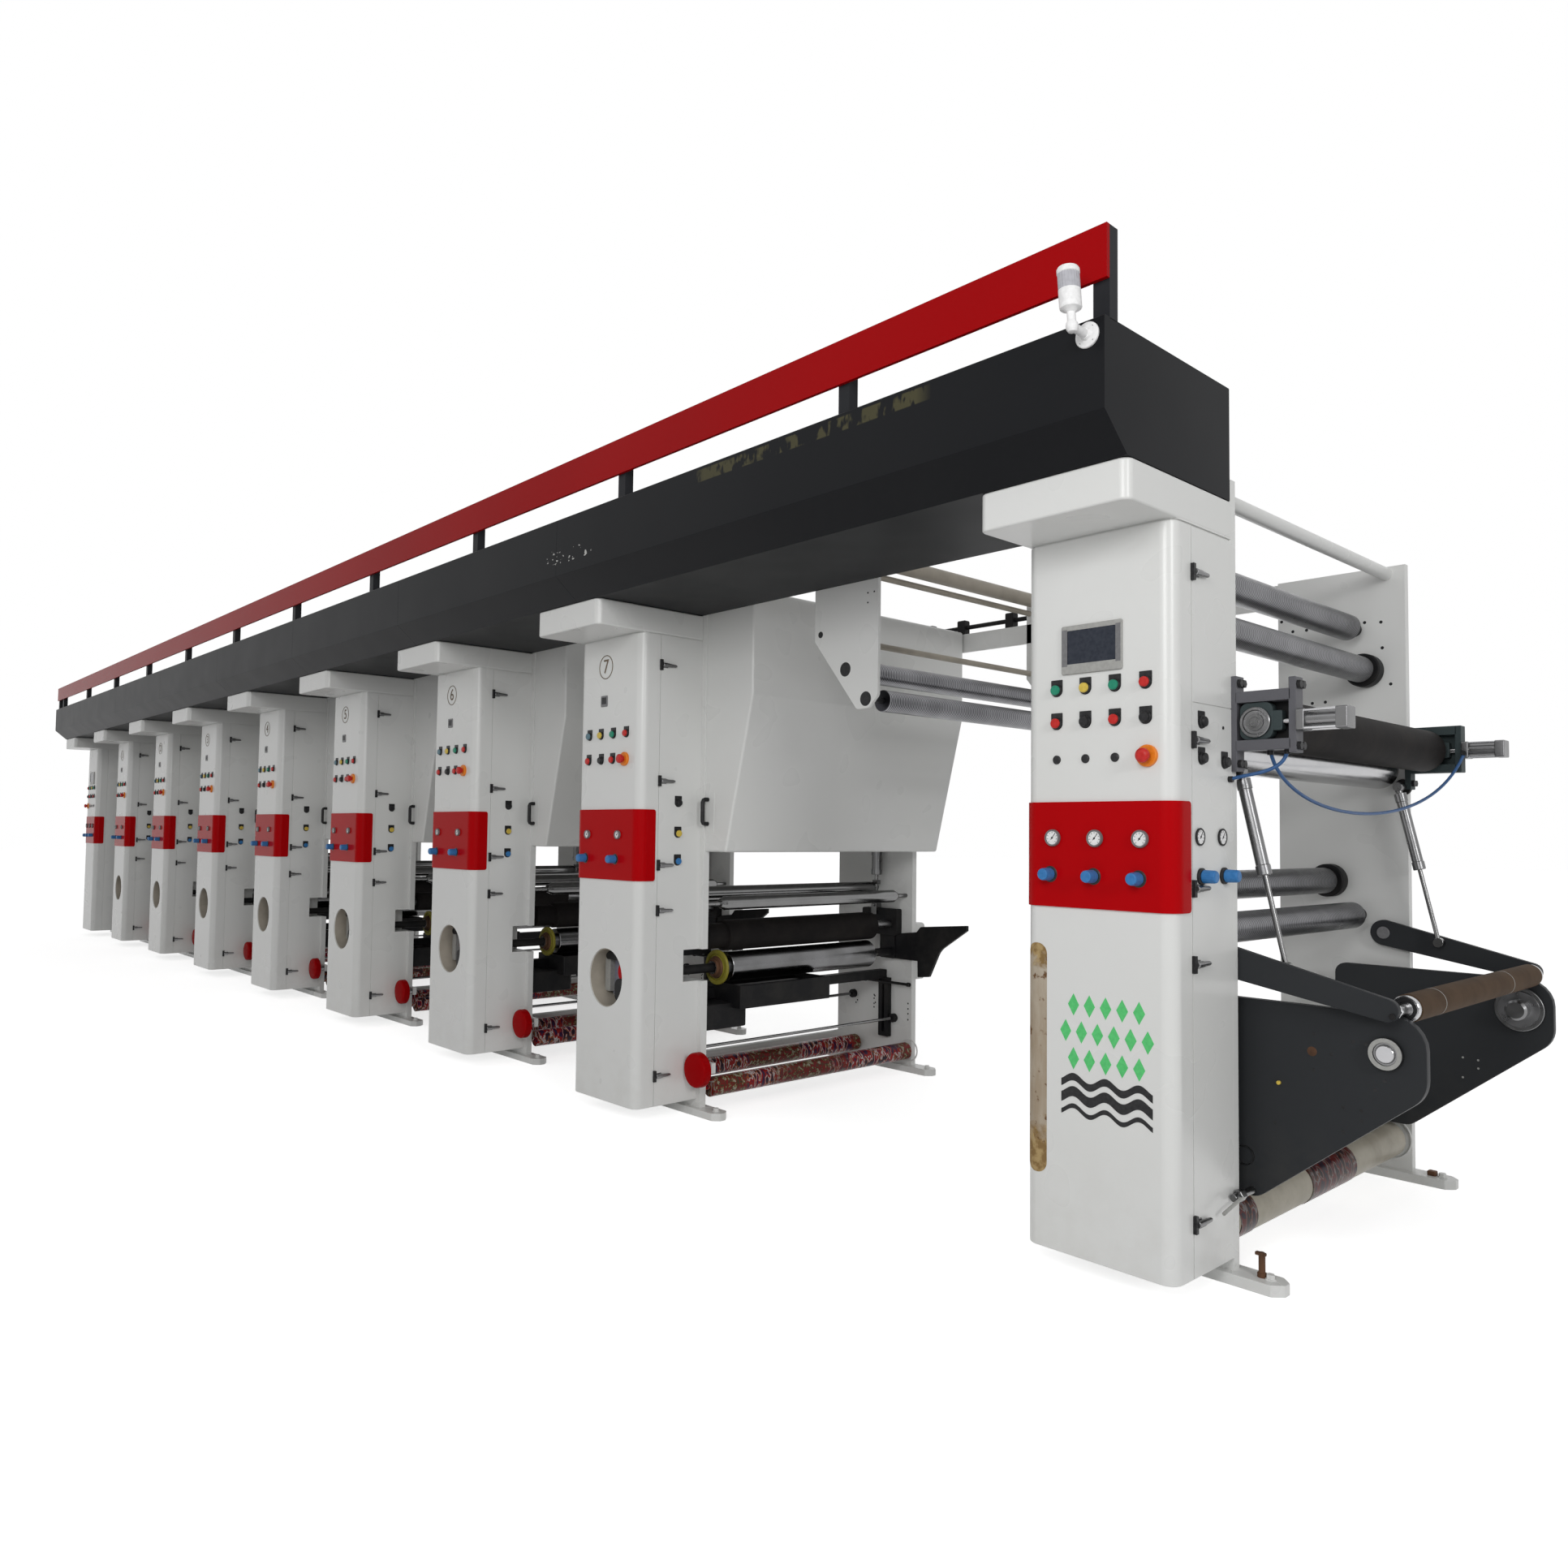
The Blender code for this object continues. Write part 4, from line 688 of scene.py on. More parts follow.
def housing(width):
    outline = rounded(
        [(0, 0, CORNER), (width, 0, CORNER), (width, CABINET_DEPTH, 0), (0, CABINET_DEPTH, 0)]
    )
    hat = rounded(
        [
            (-0.001, -0.243, 0.03), (width + 0.001, -0.243, 0.03), (width + 0.001, 0.351, 0),
            (-0.001, 0.351, 0)
        ]
    )
    top = CABINET_TOP - SEAM_DEPTH
    seams = [
        block(side, SEAM, (0, top), 0.0005)
        for side in ((-0.02, SEAM_DEPTH), (width - SEAM_DEPTH, width + 0.02))
    ]
    deep, back, inner = 0.006, CABINET_DEPTH + 0.02, CORNER - 0.006
    around = rounded(
        [
            (-0.02, -0.02, 0), (width + 0.02, -0.02, 0), (width + 0.02, back, 0), (width - deep, back, 0),
            (width - deep, deep, inner), (deep, deep, inner), (deep, back, 0), (-0.02, back, 0)
        ]
    )
    gap = plate(around, "z", CABINET_TOP - 0.007, CABINET_TOP - 0.0005, 0.0)
    shell = carved(meshed(plate(outline, "z", CABINET_BOTTOM, CABINET_TOP + 0.05, 0.004)), [gap])
    return shell, seams, meshed(plate(hat, "z", CABINET_TOP, HAT_TOP, 0.008, 3))


def wrapped_panel(width, bottom, top):
    """A sheet folded round the housing's front and corners, with its four side corners rounded."""
    out, into = -PANEL_THICK, 0.003
    outer = [
        (out, PANEL_SIDE, 0), (out, out, CORNER - out), (width - out, out, CORNER - out),
        (width - out, PANEL_SIDE, 0)
    ]
    inner = [
        (width - into, PANEL_SIDE, 0), (width - into, into, CORNER - into), (into, into, CORNER - into),
        (into, PANEL_SIDE, 0)
    ]
    sheet = meshed(plate(rounded(outer + inner), "z", bottom, top, 0.0012))
    side = [
        (-0.1, bottom - 0.01, 0), (PANEL_SIDE - 0.0005, bottom - 0.01, 0),
        (PANEL_SIDE - 0.0005, top + 0.01, 0), (-0.1, top + 0.01, 0)
    ]
    side[1] = (side[1][0], bottom + 0.0005, PANEL_ROUND)
    side[2] = (side[2][0], top - 0.0005, PANEL_ROUND)
    side[0] = (-0.1, bottom + 0.0005, 0)
    side[3] = (-0.1, top - 0.0005, 0)
    return carved(sheet, [plate(rounded(side), "x", -0.1, width + 0.1, 0.0)], "INTERSECT")


shell, seams, hat = housing(UNIT_WIDTH)
window = rod("y", WINDOW, -0.05, WINDOW_DEPTH, WINDOW_RADIUS, 0.0, 64)
notch = block(*NOTCH, 0.0)
in_units("cabinet", carved(shell, [*seams, window, notch]), white, stands_for="cabinet_{}")
in_units("hat", hat, white)
in_units("red_panel", wrapped_panel(UNIT_WIDTH, 1.093, 1.421), red)

shell, seams, hat = housing(STAND_WIDTH)
level_seam = block(
    (STAND_WIDTH - 0.003, STAND_WIDTH + 0.02), (0.112, CABINET_DEPTH + 0.02), (1.710, 1.7135), 0.0
)
in_stands("cabinet", carved(shell, [*seams, level_seam]), white, stands_for="{}_cabinet")
in_stands("hat", hat, white)
in_stands("red_panel", wrapped_panel(STAND_WIDTH, 1.104, 1.424), red)

# %% [markdown]
# ## Gauges, knobs and buttons
# Pressure gauges and their blue regulator knobs sit on the red panels, rows of push buttons above
# them, and three more buttons on each unit's side. All are turned profiles that stand out from a
# face, so one helper places them on the front (towards -Y) or on the right side (towards +X).

# %% Turned fittings
def turned_out(profile, axis, place, face, sides=28, ripple=0.0, ribs=12):
    """A profile of (out, radius) pairs standing on the face at that height of the axis."""
    sign = -1 if axis == "y" else 1
    return lathe([(face + sign * out, radius) for out, radius in profile], axis, place, sides, ripple, ribs)


def flat_on(outline, axis, face, low, high, edge=0.0004):
    """An outline made a thin plate from low to high above a face."""
    sign = -1 if axis == "y" else 1
    start, end = sorted((face + sign * low, face + sign * high))
    return plate(outline, axis, start, end, edge, 1)


def hand(place, length, width, angle):
    """The outline of a thin bar through a point, turned by an angle."""
    along = np.array([math.cos(angle), math.sin(angle)]) * length / 2
    across = np.array([-math.sin(angle), math.cos(angle)]) * width / 2
    return np.array(place) + np.array([along + across, -along + across, -along - across, along - across])


def gauges(places, axis, face, reach=0.018, size=1.0):
    """Rims, dials, and the marks and hands on the dials. A flush gauge has a smaller reach."""
    k = reach / 0.018
    rim = [
        (-0.003, 0.024), (0.005, 0.024), (0.008, 0.026), (0.015, 0.026), (0.018, 0.0245), (0.018, 0.0215),
        (0.0140, 0.0210)
    ]
    dial = [(0.0125, 0.0205), (0.0145, 0.0205), (0.0146, 0.0203)]
    rim, dial = [[(out * k, radius * size) for out, radius in profile] for profile in (rim, dial)]
    low, high = 0.0135 * k, 0.0145 * k
    rims, dials, marks = [], [], []
    for u, v in places:
        rims.append(turned_out(rim, axis, (u, v), face))
        dials.append(turned_out(dial, axis, (u, v), face))
        for step in range(9):
            turn = math.radians(-45 + 270 * step / 8)
            spot = (u + 0.0165 * size * math.cos(turn), v + 0.0165 * size * math.sin(turn))
            marks.append(
                flat_on(hand(spot, 0.005 * size, 0.0011, turn), axis, face, low, high + 0.0006, 0.0002)
            )
        marks.append(
            flat_on(
                hand((u + 0.003, v + 0.004), 0.024 * size, 0.0018, math.radians(52)), axis, face, low,
                high + 0.0011, 0.0002
            )
        )
        marks.append(turned_out([(low, 0.003), (high + 0.0014, 0.003)], axis, (u, v), face, 12))
    return rims, dials, marks


def knobs(places, axis, face, reach=0.052):
    """Regulator knobs with fine ribs, and the dark nuts behind them."""
    grip = [
        (0.008, 0.0175), (0.012, 0.0195), (reach - 0.008, 0.0185), (reach - 0.003, 0.017), (reach, 0.012)
    ]
    nut = [(-0.003, 0.025), (0.006, 0.025), (0.008, 0.022), (0.009, 0.018)]
    ribbed = [turned_out(grip, axis, place, face, 72, 0.02, 18) for place in places]
    return ribbed, [turned_out(nut, axis, place, face, 28) for place in places]


def push_buttons(places, axis, face):
    """D-shaped black name plates, bezels and caps of push buttons."""
    dark_parts, caps = [], []
    for u, v in places:
        frame_plate = [
            (u - 0.02, v + 0.032, 0.002), (u - 0.02, v - 0.02, 0.0195), (u + 0.02, v - 0.02, 0.0195),
            (u + 0.02, v + 0.032, 0.002)
        ]
        dark_parts.append(flat_on(rounded(frame_plate), axis, face, -0.002, 0.0025))
        dark_parts.append(
            turned_out(
                [(0.0, 0.0185), (0.007, 0.0185), (0.009, 0.017), (0.009, 0.0155)], axis, (u, v), face
            )
        )
        caps.append(
            turned_out(
                [(0.004, 0.0152), (0.014, 0.0152), (0.0165, 0.0135), (0.0175, 0.009)], axis, (u, v), face
            )
        )
    return dark_parts, caps


def stop_parts(place, face=0.0):
    """The collar and the mushroom head of an emergency stop on a front face."""
    collar = turned_out(
        [(-0.002, 0.032), (0.009, 0.032), (0.012, 0.029), (0.012, 0.015)], "y", place, face, 40
    )
    head = [
        (0.008, 0.013), (0.020, 0.013), (0.023, 0.0195), (0.028, 0.0215), (0.036, 0.0205), (0.041, 0.015),
        (0.042, 0.008)
    ]
    return collar, turned_out(head, "y", place, face, 40)


def latch_parts(width, heights):
    """Cover latches at the side seam: a dark upright leaf, and a bright bolt lying along Y that
    draws in to a blunt tip."""
    leaves, bolts = [], []
    for z in heights:
        leaves.append(block((width - 0.002, width + 0.011), (0.102, 0.115), (z - 0.025, z + 0.025), 0.001))
        bolt = [
            (0.113, 0.0075), (0.115, 0.0098), (0.145, 0.0098), (0.150, 0.0082), (0.185, 0.0068),
            (0.192, 0.0045)
        ]
        bolts.append(lathe(bolt, "y", (width + 0.0098, z), 20))
        bolts.append(block((width - 0.002, width + 0.004), (0.114, 0.146), (z - 0.0125, z + 0.0125), 0.001))
    return leaves, bolts


def by_colour(name, places, colours, axis, face, placing):
    """Button caps sorted by colour, one piece for each, on one dark piece of plates and bezels."""
    dark_parts, caps = push_buttons(places, axis, face)
    placing(f"{name}_plates", meshed(*dark_parts), jet)
    for colour in dict.fromkeys(colours):
        mine = [cap for cap, own in zip(caps, colours) if own is colour]
        placing(f"{name}_{colour.name.split('_')[0]}", meshed(*mine), colour)


for placing, width, gauge_places, knob_places, stop, latch_heights in (
    (
        in_units, UNIT_WIDTH, ((0.108, 1.303), (0.362, 1.303)), ((0.087, 1.19), (0.338, 1.19)),
        (0.396, 1.653), (2.09, 1.553, 1.166, 0.958, 0.208)
    ),
    (
        in_stands, STAND_WIDTH, ((0.109, 1.314), (0.255, 1.314), (0.402, 1.314)),
        ((0.097, 1.203), (0.247, 1.201), (0.394, 1.199)), (0.421, 1.553),
        (2.092, 1.602, 1.173, 0.956, 0.224)
    ),
):
    front = -PANEL_THICK
    rims, dials, marks = gauges(
        gauge_places, "y", front + 0.006, size=1.0 if placing is in_stands else 0.78
    )
    grips, nuts = knobs(knob_places, "y", 0.0)
    collar, head = stop_parts(stop)
    if placing is in_stands:
        side = gauges(((0.147, 1.322), (0.285, 1.322)), "x", width, 0.007)
        dials, marks = dials + side[1], marks + side[2]
        placing("side_gauge_rims", meshed(*side[0]), jet)
        side = knobs(((0.157, 1.207), (0.297, 1.207)), "x", width, 0.05)
        grips, nuts = grips + side[0], nuts + side[1]
    placing("gauge_rims", meshed(*rims), grey)
    placing("gauge_dials", meshed(*dials), pale)
    placing("gauge_marks", meshed(*marks), jet)
    placing("regulator_knobs", meshed(*grips), blue)
    placing("regulator_nuts", meshed(*nuts), jet)
    placing("stop_collar", meshed(collar), orange)
    placing("stop_head", meshed(head), scarlet)
    leaves, bolts = latch_parts(width, latch_heights)
    placing("latch_leaves", meshed(*leaves), jet)
    placing("latch_bolts", meshed(*bolts), steel)

unit_rows = [(x, 1.772) for x in (0.098, 0.196, 0.299, 0.405)] + [(x, 1.653) for x in (0.095, 0.201, 0.296)]
by_colour(
    "buttons", unit_rows, [blue_grey, yellow, green, scarlet, scarlet, jet, scarlet], "y", 0.0, in_units
)
by_colour(
    "side_buttons", [(0.22, 1.455), (0.22, 1.312), (0.22, 1.183)], [jet, yellow, blue], "x", UNIT_WIDTH,
    in_units
)
columns = (0.117, 0.217, 0.316, 0.415)
stand_rows = [(x, z) for z in (1.767, 1.665) for x in columns]
by_colour(
    "buttons", stand_rows, [green, yellow, green, scarlet, scarlet, jet, scarlet, jet], "y", 0.0, in_stands
)
by_colour(
    "side_switches", [(0.162, 1.658), (0.162, 1.552), (0.305, 1.547)], [jet, jet, jet], "x", STAND_WIDTH,
    in_stands
)
plugs = [
    turned_out(
        [(-0.002, 0.0135), (0.003, 0.0135), (0.005, 0.011), (0.006, 0.005)], "y", (x, 1.553), 0.0
    ) for x in columns[:3]
]
plugs.append(
    turned_out([(-0.002, 0.005), (0.002, 0.005), (0.003, 0.003)], "x", (0.298, 1.650), STAND_WIDTH, 16)
)
in_stands("blank_plugs", meshed(*plugs), jet)

# %% [markdown]
# ## Screen, numerals, windows and an ornament
# The rewinder has a small touch screen. Each unit wears its plain number in a ring, a square
# counter, and a round window with a red handwheel behind it. The tall stain on the rewinder is
# residue on bare primer. Lower down stands a plain ornament of green diamonds over black waves.

# %% Screen, counter, numerals, windows and ornament
screen_frame = block((0.136, 0.342), (-0.008, 0.004), (1.812, 1.961), 0.003, 0.006, "y")
glass_cut = block((0.158, 0.322), (-0.02, -0.0055), (1.842, 1.945), 0.0, 0.001, "y")
in_stands("screen_frame", carved(meshed(screen_frame), [glass_cut]), pale_grey)
in_stands(
    "screen_sides",
    meshed(
        *[
            block(
                x, (-0.0085, -0.004), (1.836, 1.949), 0.0006, 0.001, "y"
            ) for x in ((0.139, 0.158), (0.322, 0.339))
        ]
    ),
    grey
)
in_stands(
    "screen_glass", meshed(block((0.157, 0.323), (-0.0068, -0.003), (1.841, 1.946), 0.0004)), screen_face
)

counter = block((0.192, 0.244), (-0.004, 0.003), (1.908, 1.960), 0.0012, 0.004, "y")
in_units("counter", meshed(counter), grey)
in_units(
    "counter_display", meshed(block((0.200, 0.236), (-0.0052, -0.002), (1.920, 1.952), 0.0005, 0.001, "y")),
    jet
)
in_units("number_ring", meshed(torus("y", (0.226, 2.096), 0.0, 0.055, 0.0022, 64, 8)), ring_brown)

for unit, x, number in UNITS:
    text = bpy.data.curves.new("numeral", "FONT")
    text.body = str(number)
    text.size = 0.094
    text.extrude = 0.0009
    text.align_x, text.align_y = "CENTER", "CENTER"
    writing = bpy.data.objects.new("numeral", text)
    bpy.context.scene.collection.objects.link(writing)
    digit = bpy.data.meshes.new_from_object(writing.evaluated_get(bpy.context.evaluated_depsgraph_get()))
    bpy.data.objects.remove(writing)
    build = bmesh.new()
    build.from_mesh(digit)
    bmesh.ops.remove_doubles(build, verts=build.verts, dist=1e-5)
    bmesh.ops.recalc_face_normals(build, faces=build.faces)
    build.to_mesh(digit)
    build.free()
    digit.transform(Matrix.Translation((0.226, -0.0004, 2.096)) @ Matrix.Rotation(math.pi / 2, 4, "X"))
    piece(f"{unit}_numeral", digit, ring_brown, x)

lining = hoop([(0.1345, 0.006), (0.1345, 0.108), (0.1305, 0.108), (0.1305, 0.006)], "y", WINDOW, 64)
in_units("window_lining", meshed(lining), beige)
back = block((0.155, 0.385), (0.100, 0.1095), (0.525, 0.75), 0.0005, 0.1, "y")
in_units("window_back", meshed(back), lavender)
upright = block((0.158, 0.200), (0.075, 0.105), (0.56, 0.715), 0.002)
in_units("window_upright", meshed(upright), pale_grey)
# A black box low on the right is a real part; the black block across the top, under the window's upper rim, is
# painted shadow inside the recess.
shade = [
    block((0.30, 0.375), (0.03, 0.101), (0.53, 0.635), 0.004, 0.03, "y"),
    block((0.18, 0.36), (0.06, 0.101), (0.712, 0.752), 0.004, 0.015, "y")
]
in_units("window_shade", meshed(*shade), black)
wheel = lathe(
    [
        (0.05, 0.02), (0.05, 0.046), (0.054, 0.050), (0.07, 0.050), (0.074, 0.046), (0.074, 0.016),
        (0.102, 0.016)
    ],
    "y", (0.345, 0.665), 40
)
in_units("window_handwheel", meshed(wheel), red)

grown = rounded(
    [(-0.0008, -0.0008, CORNER), (STAND_WIDTH, -0.0008, CORNER), (STAND_WIDTH, 0.05, 0), (-0.0008, 0.05, 0)]
)
strip = rounded(
    [(0.010, 0.292, 0.034), (0.082, 0.292, 0.034), (0.082, 0.990, 0.034), (0.010, 0.990, 0.034)], 10
)
band = carved(
    meshed(plate(grown, "z", 0.25, 1.02, 0.0)), [plate(strip, "y", -0.05, 0.045, 0.0)], "INTERSECT"
)
piece("rewinder_stain_strip", band, residue, REWIND_X)

def diamond(u, v, wide, tall):
    return [(u + wide, v), (u, v + tall), (u - wide, v), (u, v - tall)]


ORNAMENT_X = 0.284
leaves = []
for z, count, tall in ((0.815, 5, 0.033), (0.735, 6, 0.033), (0.655, 5, 0.033)):
    for x in (np.arange(count) - (count - 1) / 2) * 0.054 + ORNAMENT_X:
        leaves.append(flat_on(diamond(x, z, 0.019, tall), "y", 0.0, -0.001, 0.0008, 0.0002))
piece("rewinder_ornament_diamonds", meshed(*leaves), leaf_green, REWIND_X)


def wave_strip(middle, thick):
    """A band whose middle line is the given height + 0.012 cos(2 pi s / 0.108), drawn along s."""
    s = np.linspace(-0.15, 0.15, 61)
    line = middle + 0.012 * np.cos(2 * np.pi * s / 0.108)
    upper = np.stack([ORNAMENT_X + s, line + thick / 2], axis=-1)
    lower = np.stack([ORNAMENT_X + s, line - thick / 2], axis=-1)
    return np.concatenate([lower, upper[::-1]])


strips = [
    flat_on(wave_strip(z, thick), "y", 0.0, -0.001, 0.0008, 0.0) for z,
    thick in ((0.588, 0.022), (0.545, 0.03), (0.502, 0.014))
]
piece("rewinder_ornament_waves", meshed(*strips), jet, REWIND_X)

# %% [markdown]
# ## Duct and fascia
# A long sheet duct lies over the cabinets, bevelled below its front, and short posts carry a red
# fascia above it. The duct is one section drawn along the whole line.

# %% The duct, its posts and the fascia
def within(material, value, low, high, soft):
    """1 where low < value < high, falling off over soft at each side."""
    rise = ramp(material, value, low - soft, low)
    return product(material, rise, ramp(material, value, high, high + soft, 1.0, 0.0))


def stained_enamel(name, slot):
    """The duct's dark satin enamel with its real marks: a row of dull yellow glue stains under the
    top edge near the rewinder, and a few pale scratches further along. x, y and z pick their places."""
    material = enamel(
        name, slot, (0.008, 0.0085, 0.010), (0.012, 0.0125, 0.014), 0.38, 0.04, dirt=0.0, specular=0.06
    )
    inputs = material.node_tree.nodes["Principled BSDF"].inputs
    place = add(material, "ShaderNodeSeparateXYZ", Vector=coordinates(material)).outputs
    front = ramp(material, place["Y"], FACE_Y - 0.34, FACE_Y - 0.35)
    glue = product(
        material, within(material, place["X"], 5.4, 6.45, 0.06),
        within(material, place["Z"], 2.645, 2.688, 0.004)
    )
    glue = product(
        material, product(material, glue, front),
        ramp(material, noise(material, 16, 3, 0.6, (1, 1, 0.5)), 0.47, 0.53, 0.0, 0.75)
    )
    scratch = product(
        material, within(material, place["X"], 4.28, 4.62, 0.02),
        within(material, place["Z"], 2.505, 2.56, 0.01)
    )
    scratch = product(
        material, product(material, scratch, front),
        ramp(material, noise(material, 38, 1, 0.5, (1, 1, 2.2)), 0.66, 0.69)
    )
    base = inputs["Base Color"].links[0].from_socket
    base = blended(material, glue, base, (0.085, 0.078, 0.04))
    wire(material, blended(material, scratch, base, (0.5, 0.5, 0.48)), inputs["Base Color"])
    return material


duct_paint = stained_enamel("stained_dark_enamel", "dark_paint")
DUCT_BOTTOM, DUCT_TOP = 2.352, 2.703
DUCT_REACH = 0.359
section = [
    (-DUCT_REACH, DUCT_TOP, 0.004),
    (-DUCT_REACH, DUCT_BOTTOM + 0.098, 0.004),
    (-DUCT_REACH + 0.113, DUCT_BOTTOM, 0.004),
    (CABINET_DEPTH, DUCT_BOTTOM, 0.004),
    (CABINET_DEPTH, DUCT_TOP, 0.004),
]
DUCT_SEAMS = [-LINE_HALF] + [4.35 - 1.675 * i for i in range(6, -1, -1)] + [LINE_HALF]
panels = [plate(rounded(section, 3), "x", a, b, 0.0012) for a, b in zip(DUCT_SEAMS, DUCT_SEAMS[1:])]
piece("overhead_duct", meshed(*panels), duct_paint, stands_for=["overhead_duct"])

FASCIA_FRONT = -0.347
FASCIA_Z = (2.809, 2.958)
FASCIA_THICK = 0.014
POST_PITCH = 1.295
post_places = [LINE_HALF - 0.025] + [
    LINE_HALF - 0.989 - POST_PITCH * i for i in range(11)
] + [0.025 - LINE_HALF]
posts = [
    block(
        (x - 0.025, x + 0.025), (FASCIA_FRONT + FASCIA_THICK + 0.0003, FASCIA_FRONT + 0.0543),
        (DUCT_TOP - 0.005, FASCIA_Z[1]), 0.002
    )
    for x in post_places
]
piece("fascia_posts", meshed(*posts), dark)
joints = sorted(post_places[1:-1])
joints = [-LINE_HALF, *joints, LINE_HALF]
boards = [
    block(
        (a, b), (FASCIA_FRONT, FASCIA_FRONT + FASCIA_THICK), FASCIA_Z, 0.0012
    ) for a, b in zip(joints, joints[1:])
]
piece("red_fascia_board", meshed(*boards), fascia_red_and_painted_shade, stands_for=["red_fascia"])

# %% [markdown]
# ## Walls and feet
# Behind each cabinet two thick side plates stand on long feet and carry everything that turns.

# %% Walls, feet and their fixings
def stand_walls(left, right):
    walls, feet = [], []
    for y in (WALL_Y, INNER_FAR):
        walls.append(block((left, right), (y, y + WALL_THICK), (0.03, WALL_TOP), 0.002, 0.0, "y"))
        middle = y + WALL_THICK / 2
        low, high, cut = middle - 0.045, middle + 0.045, 0.03
        foot = [
            (left - 0.15 + cut, low, 0.01), (right + 0.15 - cut, low, 0.01),
            (right + 0.15, low + cut, 0.008), (right + 0.15, high - cut, 0.008),
            (right + 0.15 - cut, high, 0.01), (left - 0.15 + cut, high, 0.01),
            (left - 0.15, high - cut, 0.008), (left - 0.15, low + cut, 0.008)
        ]
        feet.append(plate(rounded(foot, 3), "z", 0, 0.035, 0.003))
        for x in (left - 0.10, right + 0.10):
            feet.append(
                lathe([(0.034, 0.017), (0.038, 0.017), (0.038, 0.013), (0.05, 0.012)], "z", (x, middle), 6)
            )
    return walls, feet


walls, feet = stand_walls(-0.03, UNIT_WIDTH + 0.03)
gap = block((NOTCH[0][0], 0.6), (WALL_Y - 0.02, INNER_NEAR + 0.02), NOTCH[2], 0.0)
in_units("walls", carved(meshed(*walls), [gap]), white, stands_for="frame_{}")
in_units("feet", meshed(*feet), white)
walls, feet = stand_walls(-0.004, STAND_WIDTH)
in_stands("walls", meshed(*walls), white, stands_for="{}_frame")
in_stands("feet", meshed(*feet), white)


def holes(places, radius=0.0065):
    """Dark plugs flush with the far wall's inner face, as its row of unused threaded holes. Their
    black is painted shade inside the holes.
    """
    return [rod("y", place, INNER_FAR - 0.0006, INNER_FAR + 0.01, radius, 0.0003, 16) for place in places]


unit_holes = [(0.262, z) for z in (0.325, 0.345, 0.375, 0.395)] + [(0.272, 0.352), (0.268, 0.39)]
unit_holes += [(0.52, z) for z in (0.285, 0.318, 0.345, 0.375)] + [(0.13, 0.35), (0.118, 0.335)]
in_units("wall_holes", meshed(*holes(unit_holes, 0.005)), jet)
stand_holes = [
    (0.347, 2.205), (0.409, 2.199), (0.413, 2.094), (0.443, 1.945), (0.116, 2.203), (0.059, 2.204),
    (0.012, 2.252), (0.137, 1.891), (0.19, 1.892)
]
in_stands("wall_holes", meshed(*holes(stand_holes)), jet)
near_wall = WALL_Y + WALL_THICK / 2
anchors = [
    lathe(
        [(0.030, 0.0135), (0.047, 0.0135), (0.049, 0.0095), (0.104, 0.0095), (0.106, 0.008)],
        "z", (STAND_WIDTH + 0.075, near_wall), 16
    ),
    block(
        (STAND_WIDTH + 0.056, STAND_WIDTH + 0.087), (near_wall - 0.008, near_wall + 0.008),
        (0.096, 0.105), 0.002, 0.004
    ),
    block(
        (STAND_WIDTH + 0.05, STAND_WIDTH + 0.08), (INNER_FAR, INNER_FAR + 0.03),
        (0.03, 0.052), 0.003, 0.004
    ),
]
in_stands("anchor_bolt", meshed(*anchors), brown_metal)

# %% [markdown]
# ## Drying hoods
# A closed white hood hangs between the walls of each unit, narrow below and wide above, with a
# flange in front of the walls' edges.

# %% Hoods
HOOD_BOTTOM, HOOD_KNEE, HOOD_TOP = 1.228, 1.95, 2.43
middle = UNIT_WIDTH / 2
hood_outline = [
    (middle - 0.44, HOOD_BOTTOM, 0.014),
    (middle + 0.44, HOOD_BOTTOM, 0.014),
    (middle + 0.617, HOOD_KNEE, 0.05),
    (middle + 0.617, HOOD_TOP, 0.014),
    (middle - 0.617, HOOD_TOP, 0.014),
    (middle - 0.617, HOOD_KNEE, 0.05),
]
near, far = INNER_NEAR + 0.0003, INNER_FAR - 0.0003
hood = meshed(plate(rounded(hood_outline), "y", near - 0.028, far + 0.028, 0.012, 4))
slots = [
    block((-0.0303, UNIT_WIDTH + 0.0303), span, (HOOD_BOTTOM - 0.02, HOOD_TOP + 0.02), 0.0)
    for span in ((near - 0.05, near), (far, far + 0.05))
]
in_units("drying_hood", carved(hood, slots), white, stands_for="drying_hood_{}")
front = near - 0.028
door = [block((0.548, 0.612), (front - 0.0015, front + 0.004), (1.316, 1.512), 0.0006, 0.004, "y")]
in_units("hood_handle_plate", meshed(*door), white)
grip = np.array(
    [
        (0.566, front + 0.002, 1.359), (0.566, front - 0.020, 1.359), (0.566, front - 0.029, 1.362),
        (0.566, front - 0.033, 1.371), (0.566, front - 0.033, 1.416), (0.566, front - 0.033, 1.461),
        (0.566, front - 0.029, 1.470), (0.566, front - 0.020, 1.473), (0.566, front + 0.002, 1.473)
    ]
)
in_units("hood_handle", meshed(tube(grip, 0.010, 12, (1, 0, 0))), jet)

# %% [markdown]
# ## Rollers, rods and parked rolls of a unit
# The film runs over bare chromed guide rollers. A roller is a profile of radii along its axis:
# thin journal, cone, body, cone, journal. Near the floor lie two rolls of printed film, one on arms
# outside the walls with a red cap on its end.

# %% What hangs between a unit's walls
JOURNAL = 0.012
ROLLER_INSET = 0.03
SLOT_PLATE = ((0.322, 0.394), (INNER_FAR - 0.03, INNER_FAR + 0.005), (0.176, 0.507))


